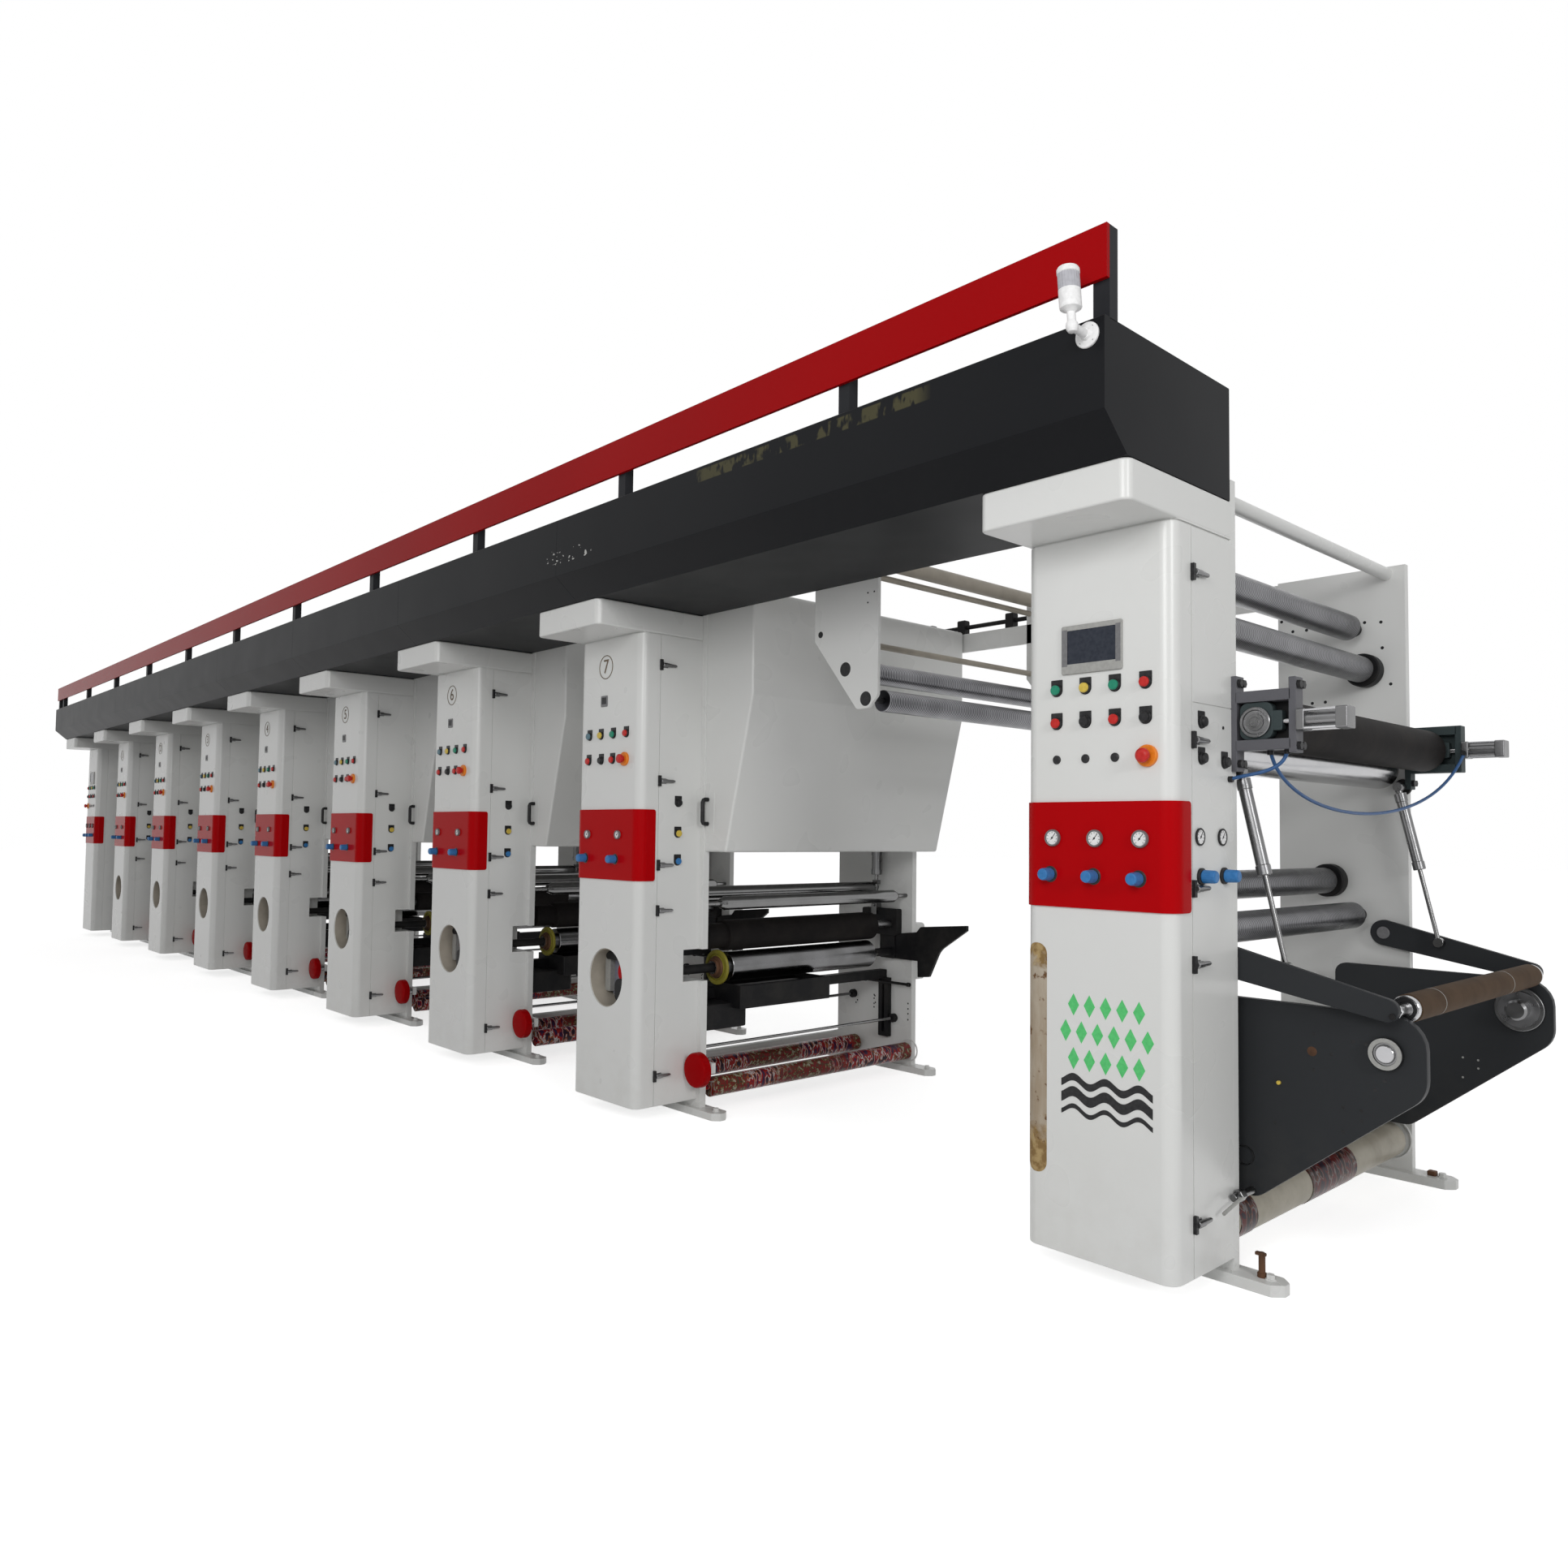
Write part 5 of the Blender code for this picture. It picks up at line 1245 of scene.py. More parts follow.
def roller(
    place, radius, cone=0.03, journal=JOURNAL, start=INNER_NEAR, end=INNER_FAR, inset=ROLLER_INSET, sides=40
):
    """A roller from wall to wall: journals, cones of the given length, and a chamfered body."""
    low, high = start + inset, end - inset
    foot = radius * 0.62 if cone > 0.01 else radius - 0.004
    profile = [
        (start - 0.004, journal),
        (low - 0.001, journal),
        (low, foot),
        (low + cone, radius),
        (high - cone, radius),
        (high, foot),
        (high + 0.001, journal),
        (end + 0.004, journal),
    ]
    return lathe(profile, "y", place, sides)


def banded(material, value, stops):
    """A colour ramp with hard steps: each (place, colour) holds until the next."""
    made = add(material, "ShaderNodeValToRGB", Fac=value)
    made.color_ramp.interpolation = "CONSTANT"
    elements = made.color_ramp.elements
    while len(elements) < len(stops):
        elements.new(0.5)
    for element, (place, colour) in zip(elements, stops):
        element.position = place
        element.color = (*colour, 1)
    return made.outputs["Color"]


def printed(name, slot, ink=1.0):
    """Printed film wound on a tube: a made-up print whose bands run round the tube, broken up by blots.
    A small ink darkens it."""
    material, inputs = surface(name, slot, 0.3, specular=0.12)
    blots = banded(
        material,
        noise(material, 42, 4, 0.65),
        (
            (0.0, (0.05, 0.038, 0.016)), (0.42, (0.20, 0.006, 0.008)), (0.50, (0.035, 0.024, 0.012)),
            (0.545, (0.22, 0.17, 0.07)), (0.60, (0.33, 0.30, 0.25))
        ),
    )
    stripes = banded(
        material,
        noise(material, 34, 2, 0.5, (0.45, 1, 0.45)),
        (
            (0.0, (0.03, 0.008, 0.04)), (0.41, (0.27, 0.010, 0.008)), (0.50, (0.50, 0.46, 0.46)),
            (0.545, (0.28, 0.07, 0.02)), (0.59, (0.02, 0.008, 0.02))
        ),
    )
    length = ramp(material, noise(material, 2.2, 1, 0.5, (0.2, 1, 0.2)), 0.47, 0.5)
    print_colour = blended(material, length, blots, stripes)
    wire(material, blended(material, ink, (0.008, 0.006, 0.005), print_colour), inputs["Base Color"])
    bump(material, inputs, noise(material, 45, 2, 0.5, (1, 0.15, 1)), 0.2, 0.001)
    return material


film = printed("printed_film", "brown_sleeve")
dark_film = printed("dark_printed_film", "brown_sleeve", 0.3)
guides = [
    roller((0.50, 0.978), 0.034, start=INNER_NEAR + 0.075, end=INNER_FAR - 0.055),
    roller((0.28, 1.015), 0.034)
]
guides += [rod("y", (0.50, 0.978), INNER_NEAR - 0.004, INNER_FAR + 0.004, JOURNAL - 0.001, 0.001, 20)]
in_units("guide_rollers", meshed(*guides), chrome)
stay = [rod("y", (0.42, 0.284), INNER_NEAR - 0.004, INNER_FAR + 0.004, 0.008, 0.001, 16)]
stay += [
    rod(
        "y", place, INNER_NEAR - 0.004, INNER_FAR + 0.004, 0.008, 0.001, 16
    ) for place in ((0.115, 0.491), (0.105, 0.387))
]
in_units("stay_rods", meshed(*stay), chrome)
bosses = [
    lathe(
        [
            (INNER_FAR - 0.026, 0.012), (INNER_FAR - 0.026, 0.021), (INNER_FAR - 0.022, 0.024),
            (INNER_FAR + 0.003, 0.024)
        ],
        "y", place, 24
    ) for place in ((0.42, 0.284), (0.115, 0.491), (0.105, 0.387))
]
in_units("stay_bosses", meshed(*bosses), black)
in_units(
    "tie_tube", meshed(rod("y", (0.0, 0.14), INNER_NEAR - 0.004, INNER_FAR + 0.004, 0.025, 0.001, 24)),
    white
)
slot_plate = block(*SLOT_PLATE, 0.002)
slot = block((0.349, 0.367), (INNER_FAR - 0.04, INNER_FAR + 0.02), (0.20, 0.47), 0.0, 0.0089, "y")
in_units("slotted_plate", carved(meshed(slot_plate), [slot]), black)
tee = [rod("x", (INNER_FAR - 0.038, 0.486), 0.215, 0.565, 0.008, 0.001, 16)]
tee += [rod("x", (INNER_FAR - 0.038, 0.486), x, x + 0.02, 0.012, 0.002, 16) for x in (0.215, 0.545)]
in_units("tee_bar", meshed(*tee), black)
roll_place, cap_place = (0.53, 0.119), (0.602, 0.226)
rolls = [roller((0.145, 0.113), 0.046, 0.002), roller(roll_place, 0.046, 0.002)]
in_units("film_rolls", meshed(*rolls), film)
in_units("roll_wall_ring", meshed(torus("y", roll_place, INNER_FAR - 0.002, 0.060, 0.004, 48, 8)), white)
cap_start = CABINET_DEPTH - 0.072
cap_profile = [(-0.012, 0.02), (-0.012, 0.066), (-0.008, 0.076), (0.0, 0.08), (0.028, 0.08), (0.031, 0.077)]
cap = lathe([(cap_start + along, radius) for along, radius in cap_profile], "y", cap_place, 48)
# The cap's paint is the panels' red; the fascia's darker red here is painted shade.
in_units("roll_cap", meshed(cap), fascia_red_and_painted_shade)
in_units(
    "cap_spindle", meshed(rod("y", cap_place, cap_start + 0.02, WALL_Y + 0.034, 0.018, 0.001, 24)), steel
)
arms = [
    block(
        (0.526, cap_place[0] + 0.02), (WALL_Y + 0.005, WALL_Y + 0.03),
        (cap_place[1] - 0.025, cap_place[1] + 0.025), 0.003
    )
]
in_units("roll_arms", meshed(*arms), white)
CYLINDER_X, CYLINDER_Z = 0.413, 0.66
case = block(
    (CYLINDER_X - 0.16, CYLINDER_X + 0.10), (WALL_BACK - 0.005, WALL_BACK + 0.115),
    (CYLINDER_Z - 0.16, CYLINDER_Z + 0.16), 0.006, 0.02, "y"
)
in_units("gear_case", meshed(case), white)

# %% [markdown]
# ## Printing head
# The engraved chrome cylinder turns in an ink pan, a doctor blade wipes it, and a rubber
# impression roller presses the film on it from above. Brackets, pan and catch plate are blackened
# steel. The cylinder's own pieces ride on its body, so that they turn in the poses.

# %% The head and its gravure cylinder
IMPRESSION_Z = 0.814
FACE = (0.6003, 1.6203)
HEAD_LEFT, HEAD_RIGHT = CYLINDER_X - 0.12, CYLINDER_X + 0.10
HEAD_BOTTOM, HEAD_TOP = CYLINDER_Z - 0.145, IMPRESSION_Z + 0.09
PAN_TOP = 0.581
bracket = [
    (HEAD_LEFT, HEAD_BOTTOM, 0.01),
    (HEAD_RIGHT, HEAD_BOTTOM, 0.01),
    (HEAD_RIGHT, IMPRESSION_Z, 0.02),
    (CYLINDER_X + 0.02, HEAD_TOP, 0.01),
    (HEAD_LEFT, HEAD_TOP, 0.01),
]
catch = [
    (0.36, 0.62, 0.004),
    (0.602, 0.62, 0.004),
    (0.604, 0.531, 0.004),
    (0.685, 0.54, 0.01),
    (0.76, 0.69, 0.12),
    (0.944, 0.81, 0.004),
    (0.944, 0.838, 0.004),
    (0.623, 0.81, 0.02),
    (0.594, 0.779, 0.01),
    (0.36, 0.75, 0.004),
]
head = [plate(rounded(bracket), "y", near, near + 0.02, 0.002)]
head.append(block((0.205, 0.47), (far - 0.045, far), (0.752, 0.90), 0.003, 0.01, "y"))
head.append(block((0.33, 0.44), (far - 0.03, far), (0.62, 0.76), 0.003, 0.01, "y"))
head.append(plate(rounded(catch), "y", far - 0.0197, far - 0.0003, 0.002))
head.append(
    block((CYLINDER_X - 0.10, CYLINDER_X - 0.05), (near + 0.005, far - 0.005), (0.501, 0.551), 0.003)
)
head.append(block((0.30, 0.50), (near + 0.02, near + 0.29), (0.375, 0.496), 0.006, 0.02))
head.append(block((0.358, 0.545), (0.307, near + 0.01), (0.63, 0.762), 0.005, 0.008, "y"))
PAN_END = 1.19
pan = block(
    (CYLINDER_X - 0.15, CYLINDER_X + 0.15), (FACE[0] - 0.02, PAN_END), (0.470, PAN_TOP), 0.003, 0.01
)
hollow = block(
    (CYLINDER_X - 0.138, CYLINDER_X + 0.138), (FACE[0] - 0.008, PAN_END - 0.012), (0.49, PAN_TOP + 0.02),
    0.0
)
bore = rod("y", (CYLINDER_X, CYLINDER_Z), 0.28, WALL_BACK, 0.0226, 0.0, 32)
in_units("printing_head", carved(meshed(*head), [bore]), black, stands_for="printing_head_{}")
in_units("ink_pan", carved(meshed(pan), [hollow]), black)
impression = lathe(
    [
        (0.452, 0.04), (0.452, 0.058), (0.456, 0.062), (FACE[0] - 0.024, 0.062), (FACE[0] - 0.02, 0.072),
        (FACE[0] - 0.016, 0.075), (FACE[1] + 0.016, 0.075), (FACE[1] + 0.02, 0.072), (FACE[1] + 0.02, 0.05)
    ],
    "y", (CYLINDER_X, IMPRESSION_Z), 48,
)
in_units("impression_roller", meshed(impression), rubber)
in_units(
    "impression_shaft",
    meshed(rod("y", (CYLINDER_X, IMPRESSION_Z), near + 0.005, far - 0.005, 0.025, 0.001)), steel
)
PRESS_X = 0.305
load = []
rods = []
for y in (INNER_NEAR + 0.036, INNER_FAR - 0.036):
    load.append(
        lathe(
            [
                (1.09, 0.02), (1.09, 0.029), (1.092, 0.03), (1.12, 0.03), (1.12, 0.027), (1.20, 0.027),
                (1.20, 0.03), (1.2277, 0.03)
            ],
            "z", (PRESS_X, y), 24
        )
    )
    load.append(block((PRESS_X - 0.018, PRESS_X + 0.018), (y - 0.014, y + 0.014), (1.035, 1.06), 0.003))
    rods.append(rod("z", (PRESS_X, y), HEAD_TOP - 0.005, 1.095, 0.010, 0.001, 16))
    rods.append(rod("y", (PRESS_X, HEAD_TOP + 0.012), y - 0.03, y + 0.03, 0.008, 0.001, 16))
    rods.append(
        block(
            (PRESS_X - 0.02, PRESS_X + 0.02), (y - 0.02, y + 0.02), (HEAD_TOP - 0.04, HEAD_TOP + 0.025),
            0.003
        )
    )
in_units("press_cylinders", meshed(*load), steel)
in_units("press_rods", meshed(*rods), chrome)

engraved = lathe(
    [
        (FACE[0], 0.045), (FACE[0], 0.071), (FACE[0] + 0.002, 0.073), (FACE[1] - 0.002, 0.073),
        (FACE[1], 0.071), (FACE[1], 0.045)
    ],
    "y", (CYLINDER_X, CYLINDER_Z), 64
)
shaft = lathe(
    [
        (0.30, 0.020), (0.302, 0.022), (0.52, 0.022), (0.52, 0.032), (FACE[0] + 0.001, 0.046),
        (FACE[1] - 0.001, 0.046), (FACE[1] + 0.05, 0.03), (FACE[1] + 0.07, 0.022),
        (INNER_FAR - 0.008, 0.022), (INNER_FAR - 0.006, 0.02)
    ],
    "y", (CYLINDER_X, CYLINDER_Z), 40
)
ring = lathe(
    [
        (0.5453, 0.03), (0.5453, 0.058), (0.5515, 0.060), (0.5515, 0.066), (0.5453, 0.068), (0.5453, 0.083),
        (0.5473, 0.085), (0.5583, 0.085), (0.5603, 0.083), (0.5603, 0.03)
    ],
    "y", (CYLINDER_X, CYLINDER_Z), 56
)
hub = lathe(
    [
        (0.522, 0.022), (0.522, 0.038), (0.526, 0.042), (0.534, 0.042), (0.536, 0.050), (0.5455, 0.055),
        (0.549, 0.03)
    ],
    "y", (CYLINDER_X, CYLINDER_Z), 40
)
in_units("gravure_face", meshed(engraved), engraved_chrome, "cylinder_{}", "gravure_cylinder_{}")
in_units("gravure_shaft", meshed(shaft), steel, "cylinder_{}")
in_units("end_ring", meshed(ring), olive, "cylinder_{}")
in_units("ring_hub", meshed(hub), brown_metal, "cylinder_{}")

# %% [markdown]
# ## End stands
# The rewinder at the near end carries grooved aluminium guide rollers, a draw roller with a
# rubber nip roller pressed on it by two air cylinders, and low down a pair of arms that hold the
# wound roll between chucks. The unwinder at the far end is the same, mirrored.

# %% Rollers, ties and nip gear of the end stands
stand_places = ((0.308, 2.179), (0.354, 2.004), (0.208, 1.154), (0.315, 1.02))
in_stands(
    "grooved_rollers", meshed(*[roller(place, 0.052, 0.003, inset=0.075) for place in stand_places]),
    grooved
)
in_stands("draw_roller", meshed(roller((0.405, 1.60), 0.075, 0.004)), polished)
caps = [
    lathe(
        [
            (wall + side * out, radius) for out,
            radius in ((-0.003, 0.028), (0.070, 0.028), (0.073, 0.025), (0.073, 0.015))
        ],
        "y", place, 28
    )
    for place in stand_places for wall, side in ((INNER_FAR, -1), (INNER_NEAR, 1))
]
in_stands("bearing_caps", meshed(*caps), black)
FLOOR_ROLL = (0.418, 0.153)
in_stands("floor_roll", meshed(roller(FLOOR_ROLL, 0.0695, 0.004)), cream)
wraps = [
    lathe(
        [(a, 0.05), (a, 0.0705), (a + 0.002, 0.0715), (b - 0.002, 0.0715), (b, 0.0705), (b, 0.05)], "y",
        FLOOR_ROLL, 40
    ) for a,
    b in ((0.425, 0.54), (0.95, 1.33))
]
in_stands("floor_roll_film", meshed(*wraps), dark_film)
in_stands(
    "floor_roll_wall_ring", meshed(torus("y", FLOOR_ROLL, INNER_FAR - 0.002, 0.080, 0.004, 48, 8)), white
)
ties = [
    rod(
        "y", place, INNER_NEAR - 0.004, INNER_FAR + 0.004, 0.025, 0.001, 24
    ) for place in ((0.43, 2.39), (0.05, 0.14), (0.06, 0.62))
]
in_stands("tie_tubes", meshed(*ties), white)
flanges = [
    lathe(
        [
            (INNER_FAR - 0.058, 0.03), (INNER_FAR - 0.058, 0.062), (INNER_FAR - 0.052, 0.067),
            (INNER_FAR - 0.006, 0.067), (INNER_FAR + 0.002, 0.062)
        ],
        "y", place, 40
    )
    for place in ((0.354, 2.004), (0.208, 1.154))
]
in_stands("roller_flanges", meshed(*flanges), black)

valve = [
    rod("y", (0.515, 0.258), 0.315, 0.44, 0.011, 0.002, 20),
    rod("y", (0.515, 0.258), 0.345, 0.375, 0.017, 0.002, 6),
    block((0.498, 0.515), (0.36, 0.376), (0.248, 0.268), 0.002),
    rod("x", (0.33, 0.258), 0.513, 0.536, 0.008, 0.001, 16),
]
in_stands("valve_body", meshed(*valve), steel)
lever = np.array(
    [(0.533, 0.333, 0.260), (0.534, 0.300, 0.255), (0.533, 0.262, 0.247), (0.530, 0.225, 0.236)]
)
in_stands("valve_lever", meshed(tube(lever, 0.0055, 12, (1, 0, 0))), pale_grey)

NIP = (0.572, 1.667)
FRAME_DEPTH = 0.05
FRAME_END = 0.694
BAR_Z = ((1.728, 1.762), (1.583, 1.615))
near_frames, far_frames, slides, boss, bodies, bright, bolts = [], [], [], [], [], [], []
for y0, outer, side, frames in (
    (WALL_Y, WALL_Y, -1, near_frames), (WALL_BACK - FRAME_DEPTH, WALL_BACK, 1, far_frames)
):
    span = (y0, y0 + FRAME_DEPTH)
    mid = y0 + FRAME_DEPTH / 2
    left_top, right_z = (1.812, (1.572, 1.795)) if side < 0 else (BAR_Z[0][1], (BAR_Z[1][0], BAR_Z[0][1]))
    frames.append(block((0.495, 0.517), span, (1.521, left_top), 0.002, 0.003, "y"))
    frames += [block((0.512, FRAME_END - 0.016), span, z, 0.002, 0.003, "y") for z in BAR_Z]
    frames.append(block((FRAME_END - 0.022, FRAME_END), span, right_z, 0.002, 0.003, "y"))
    slides.append(block((0.522, 0.622), (y0 + 0.0085, y0 + 0.0415), (1.6155, 1.7275), 0.003, 0.024, "y"))
    slides.append(block((0.618, 0.650), (y0 + 0.010, y0 + 0.040), (1.640, 1.700), 0.003, 0.006, "y"))
    bright.append(rod("x", (mid, NIP[1]), 0.645, FRAME_END + 0.004, 0.010, 0.001, 16))
    rings_out = [
        (-0.02, 0.046), (0.001, 0.046), (0.003, 0.044), (0.003, 0.037), (-0.001, 0.035), (-0.001, 0.027),
        (0.002, 0.026), (0.002, 0.016), (0.005, 0.014)
    ]
    boss.append(lathe([(outer + side * out, radius) for out, radius in rings_out], "y", NIP, 40))
    bodies.append(rod("x", (mid, NIP[1]), FRAME_END + 0.019, FRAME_END + 0.121, 0.025, 0.001, 32))
    for x, thick in ((FRAME_END + 0.0005, 0.024), (FRAME_END + 0.111, 0.033)):
        bodies.append(
            block(
                (x, x + thick), (mid - 0.032, mid + 0.032), (NIP[1] - 0.032, NIP[1] + 0.032), 0.003, 0.006,
                "x"
            )
        )
    for dy in (-0.026, 0.026):
        for dz in (-0.026, 0.026):
            bright.append(
                rod("x", (mid + dy, NIP[1] + dz), FRAME_END + 0.004, FRAME_END + 0.141, 0.0045, 0.0005, 10)
            )
    bolt_places = (
        (0.516, 1.79), (0.516, 1.545), (FRAME_END - 0.001, 1.772), (FRAME_END - 0.001, 1.592)
    ) if side < 0 else ((0.516, 1.545),)
    for x, z in bolt_places:
        bolts += [
            lathe(
                [(x, 0.013), (x + 0.011, 0.013), (x + 0.012, 0.012)], "x", (y, z), 6
            ) for y in (y0 + 0.014, y0 + 0.036)
        ]
in_stands("nip_frame_near", meshed(*near_frames), bracket_grey)
# The far frame wears the near frame's paint darkened, as painted shade.
in_stands("nip_frame_far", meshed(*far_frames), bracket_grey_in_painted_shade)
for name, cover, finish in (
    ("nip_inner_cover", (WALL_Y + FRAME_DEPTH - 0.008, WALL_Y + FRAME_DEPTH - 0.001), black),
    ("nip_outer_cover", (WALL_BACK - 0.008, WALL_BACK - 0.001), bracket_grey_in_painted_shade),
):
    journal_bore = rod("y", NIP, cover[0] - 0.02, cover[1] + 0.02, 0.026, 0.0, 32)
    in_stands(
        name,
        carved(meshed(block((0.513, FRAME_END - 0.018), cover, (1.605, 1.74), 0.001)), [journal_bore]),
        finish
    )
in_stands("nip_slides", meshed(*slides), bracket_grey_in_painted_shade)
in_stands("nip_bosses", meshed(*boss), steel)
in_stands("nip_cylinders", meshed(*bodies), steel)
in_stands("nip_rods", meshed(*bright), polished)
in_stands("nip_bolts", meshed(*bolts), jet)
nip_body = lathe(
    [
        (WALL_Y + 0.08, 0.03), (WALL_Y + 0.08, 0.076), (WALL_Y + 0.084, 0.08), (WALL_BACK - 0.084, 0.08),
        (WALL_BACK - 0.08, 0.076), (WALL_BACK - 0.08, 0.03)
    ],
    "y", NIP, 48
)
in_stands("nip_rubber", meshed(nip_body), rubber, "{}_nip", "{}_nip_roller")
in_stands("nip_journal", meshed(rod("y", NIP, WALL_Y, WALL_BACK, 0.02, 0.001, 24)), steel, "{}_nip")

# %% [markdown]
# ## Air hoses
# Two blue hoses feed the nip cylinders: a short one from the cabinet's side, and one that hangs in a
# slack loop from the near frame to the far cylinder. Only the rewinder wears them. A cubic curve
# whose ends leave their fittings straight gives the bend of such a hose. Both end in the press, and
# the length of each is printed.

# %% Hoses and their fittings
HOSE = 0.011


def eased(ends, count=40):
    """The cubic curve (1-t)^3 a + 3 (1-t)^2 t b + 3 (1-t) t^2 c + t^3 d through a and d."""
    t = np.linspace(0, 1, count)[:, None]
    a, b, c, d = np.array(ends, float)
    return (1 - t) ** 3 * a + 3 * (1 - t) ** 2 * t * b + 3 * (1 - t) * t**2 * c + t**3 * d


for name, ends, across in (
    (
        "feed_hose",
        ((0.501, 0.335, 1.497), (0.58, 0.335, 1.515), (0.648, 0.375, 1.515), (0.655, 0.385, 1.582)),
        (0, 1, 0)
    ),
    (
        "loop_hose",
        ((0.60, 0.395, 1.582), (0.60, 0.50, 1.34), (0.60, 1.78, 1.34), (FRAME_END + 0.012, 1.829, 1.655)),
        (1, 0, 0)
    ),
):
    line = eased(ends)
    run = np.linalg.norm(np.diff(line, axis=0), axis=1).sum()
    print(name, round(run, 3))
    stand, x, mirror = STANDS[0]
    hose = piece(f"{stand}_{name}", meshed(tube(line, HOSE / 2, 16, across)), hose_blue, x, mirror)
fittings = [
    rod("x", (0.335, 1.497), 0.495, 0.513, 0.0095, 0.001, 16),
    rod("z", (0.655, 0.385), 1.570, 1.590, 0.0095, 0.001, 16),
    rod("z", (0.60, 0.395), 1.570, 1.590, 0.0095, 0.001, 16),
    rod("y", (FRAME_END + 0.012, 1.655), 1.818, 1.832, 0.0095, 0.001, 16),
]
in_stands("hose_fittings", meshed(*fittings), jet)

# %% [markdown]
# ## Winding arms and lay-on gear
# Two heavy dark plates stand off the walls and hold the core chucks at their tips. Over them, a
# brown lay-on roller is carried by two link arms, which air cylinders lift. Each of these pieces
# rides on the body that the joint moves.

# %% Arms, chucks, lay-on arms and air cylinders
ARM_NEAR, ARM_FAR, ARM_PLATE = INNER_NEAR + 0.068, INNER_FAR - 0.098, 0.03
CHUCK = (0.895, 0.722)
PIVOT, LAY_ON_END = (0.415, 0.955), (0.93, 0.846)
ROD_END, BARREL_TOP = (0.621, 0.934), (0.485, 1.53)
arm = rounded(
    [
        (0.255, 0.83, 0.04), (0.995, 0.83, 0.092), (0.995, 0.615, 0.092), (0.525, 0.235, 0.06),
        (0.255, 0.235, 0.04)
    ]
)
arm_faces = (ARM_NEAR, ARM_FAR)
arm_plates = [plate(arm, "y", y, y + ARM_PLATE, 0.003) for y in arm_faces]
arm_bores = [rod("y", CHUCK, y - 0.02, y + 0.05, 0.0311, 0.0, 40) for y in arm_faces]
in_stands("arm_plates", carved(meshed(*arm_plates), arm_bores), arm_paint, stands_for="{}_arms")
in_stands(
    "arm_shaft", meshed(rod("y", (0.485, 0.355), ARM_NEAR + 0.005, ARM_FAR + 0.025, 0.045, 0.002)), steel
)
arm_ring = hoop(
    [
        (0.026, ARM_NEAR - 0.003), (0.029, ARM_NEAR - 0.003), (0.029, ARM_NEAR + 0.002),
        (0.026, ARM_NEAR + 0.002)
    ],
    "y", (0.487, 0.353)
)
in_stands("arm_shaft_ring", meshed(arm_ring), steel)
threads = [
    (0.694, 0.748), (0.804, 0.741), (0.839, 0.739), (0.744, 0.696), (0.694, 0.644), (0.887, 0.644),
    (0.862, 0.614), (0.775, 0.551), (0.824, 0.55), (0.825, 0.52), (0.774, 0.481), (0.579, 0.468)
]
# The threaded holes in the near arm plate are black plugs: painted shade inside the holes.
sunk = [rod("y", place, ARM_NEAR - 0.0005, ARM_NEAR + 0.01, 0.0055, 0.0003, 14) for place in threads]
in_stands("arm_holes", meshed(*sunk), jet)
# Four pale discs on the far arm plate stand for its small holes: their pale grey is painted light showing in the
# holes.
pins = [
    rod(
        "y", place, ARM_FAR - 0.001, ARM_FAR + 0.01, 0.0038, 0.0003, 12
    ) for place in ((0.708, 0.52), (0.758, 0.517), (0.758, 0.487), (0.707, 0.447))
]
in_stands("arm_screws", meshed(*pins), pale_grey)
in_stands(
    "arm_grease_nipple",
    meshed(rod("y", (0.592, 0.59), ARM_NEAR - 0.008, ARM_NEAR + 0.005, 0.006, 0.001, 12)), yellow
)
in_stands(
    "arm_rust_spot",
    meshed(rod("y", (0.689, 0.697), ARM_NEAR - 0.0007, ARM_NEAR + 0.01, 0.014, 0.0004, 24)), brown_metal
)
spacers = [
    rod("y", place, *span, 0.04, 0.001, 32)
    for place in ((0.32, 0.74), (0.32, 0.32))
    for span in ((INNER_NEAR + 0.0003, ARM_NEAR + 0.005), (ARM_FAR + 0.025, INNER_FAR - 0.0003))
]
in_stands("arm_spacers", meshed(*spacers), dark)


def chuck(face, sign):
    """A chuck's profile outwards from its plate's inner face: collar, journal, disc with a step, nose."""
    profile = [
        (-0.052, 0.018), (-0.052, 0.0245), (-0.050, 0.0262), (-0.047, 0.0262), (-0.047, 0.031),
        (-0.050, 0.032), (-0.050, 0.044),
        (-0.048, 0.045), (-0.038, 0.045), (-0.036, 0.030), (0.006, 0.030), (0.006, 0.076),
        (0.008, 0.078), (0.020, 0.078), (0.022, 0.076), (0.022, 0.066), (0.026, 0.064), (0.026, 0.036),
        (0.062, 0.036), (0.070, 0.028),
    ]
    return lathe([(face + sign * along, radius) for along, radius in profile], "y", CHUCK, 56)


for side, face, sign in (("near", ARM_NEAR + ARM_PLATE, 1), ("far", ARM_FAR, -1)):
    in_stands(
        f"chuck_{side}", meshed(chuck(face, sign)), steel, "{}_" + side + "_core_chuck", "{}_chuck_" + side
    )
    collar = sorted((face - sign * 0.0515, face - sign * 0.0495))
    collar_face = hoop(
        [(0.0325, collar[0]), (0.044, collar[0]), (0.044, collar[1]), (0.0325, collar[1])], "y", CHUCK
    )
    in_stands(f"chuck_{side}_collar", meshed(collar_face), pale_grey, "{}_" + side + "_core_chuck")
    centre = sorted((face - sign * 0.0530, face - sign * 0.0500))
    in_stands(
        f"chuck_{side}_centre", meshed(rod("y", CHUCK, *centre, 0.0235, 0.001, 40)), polished,
        "{}_" + side + "_core_chuck"
    )


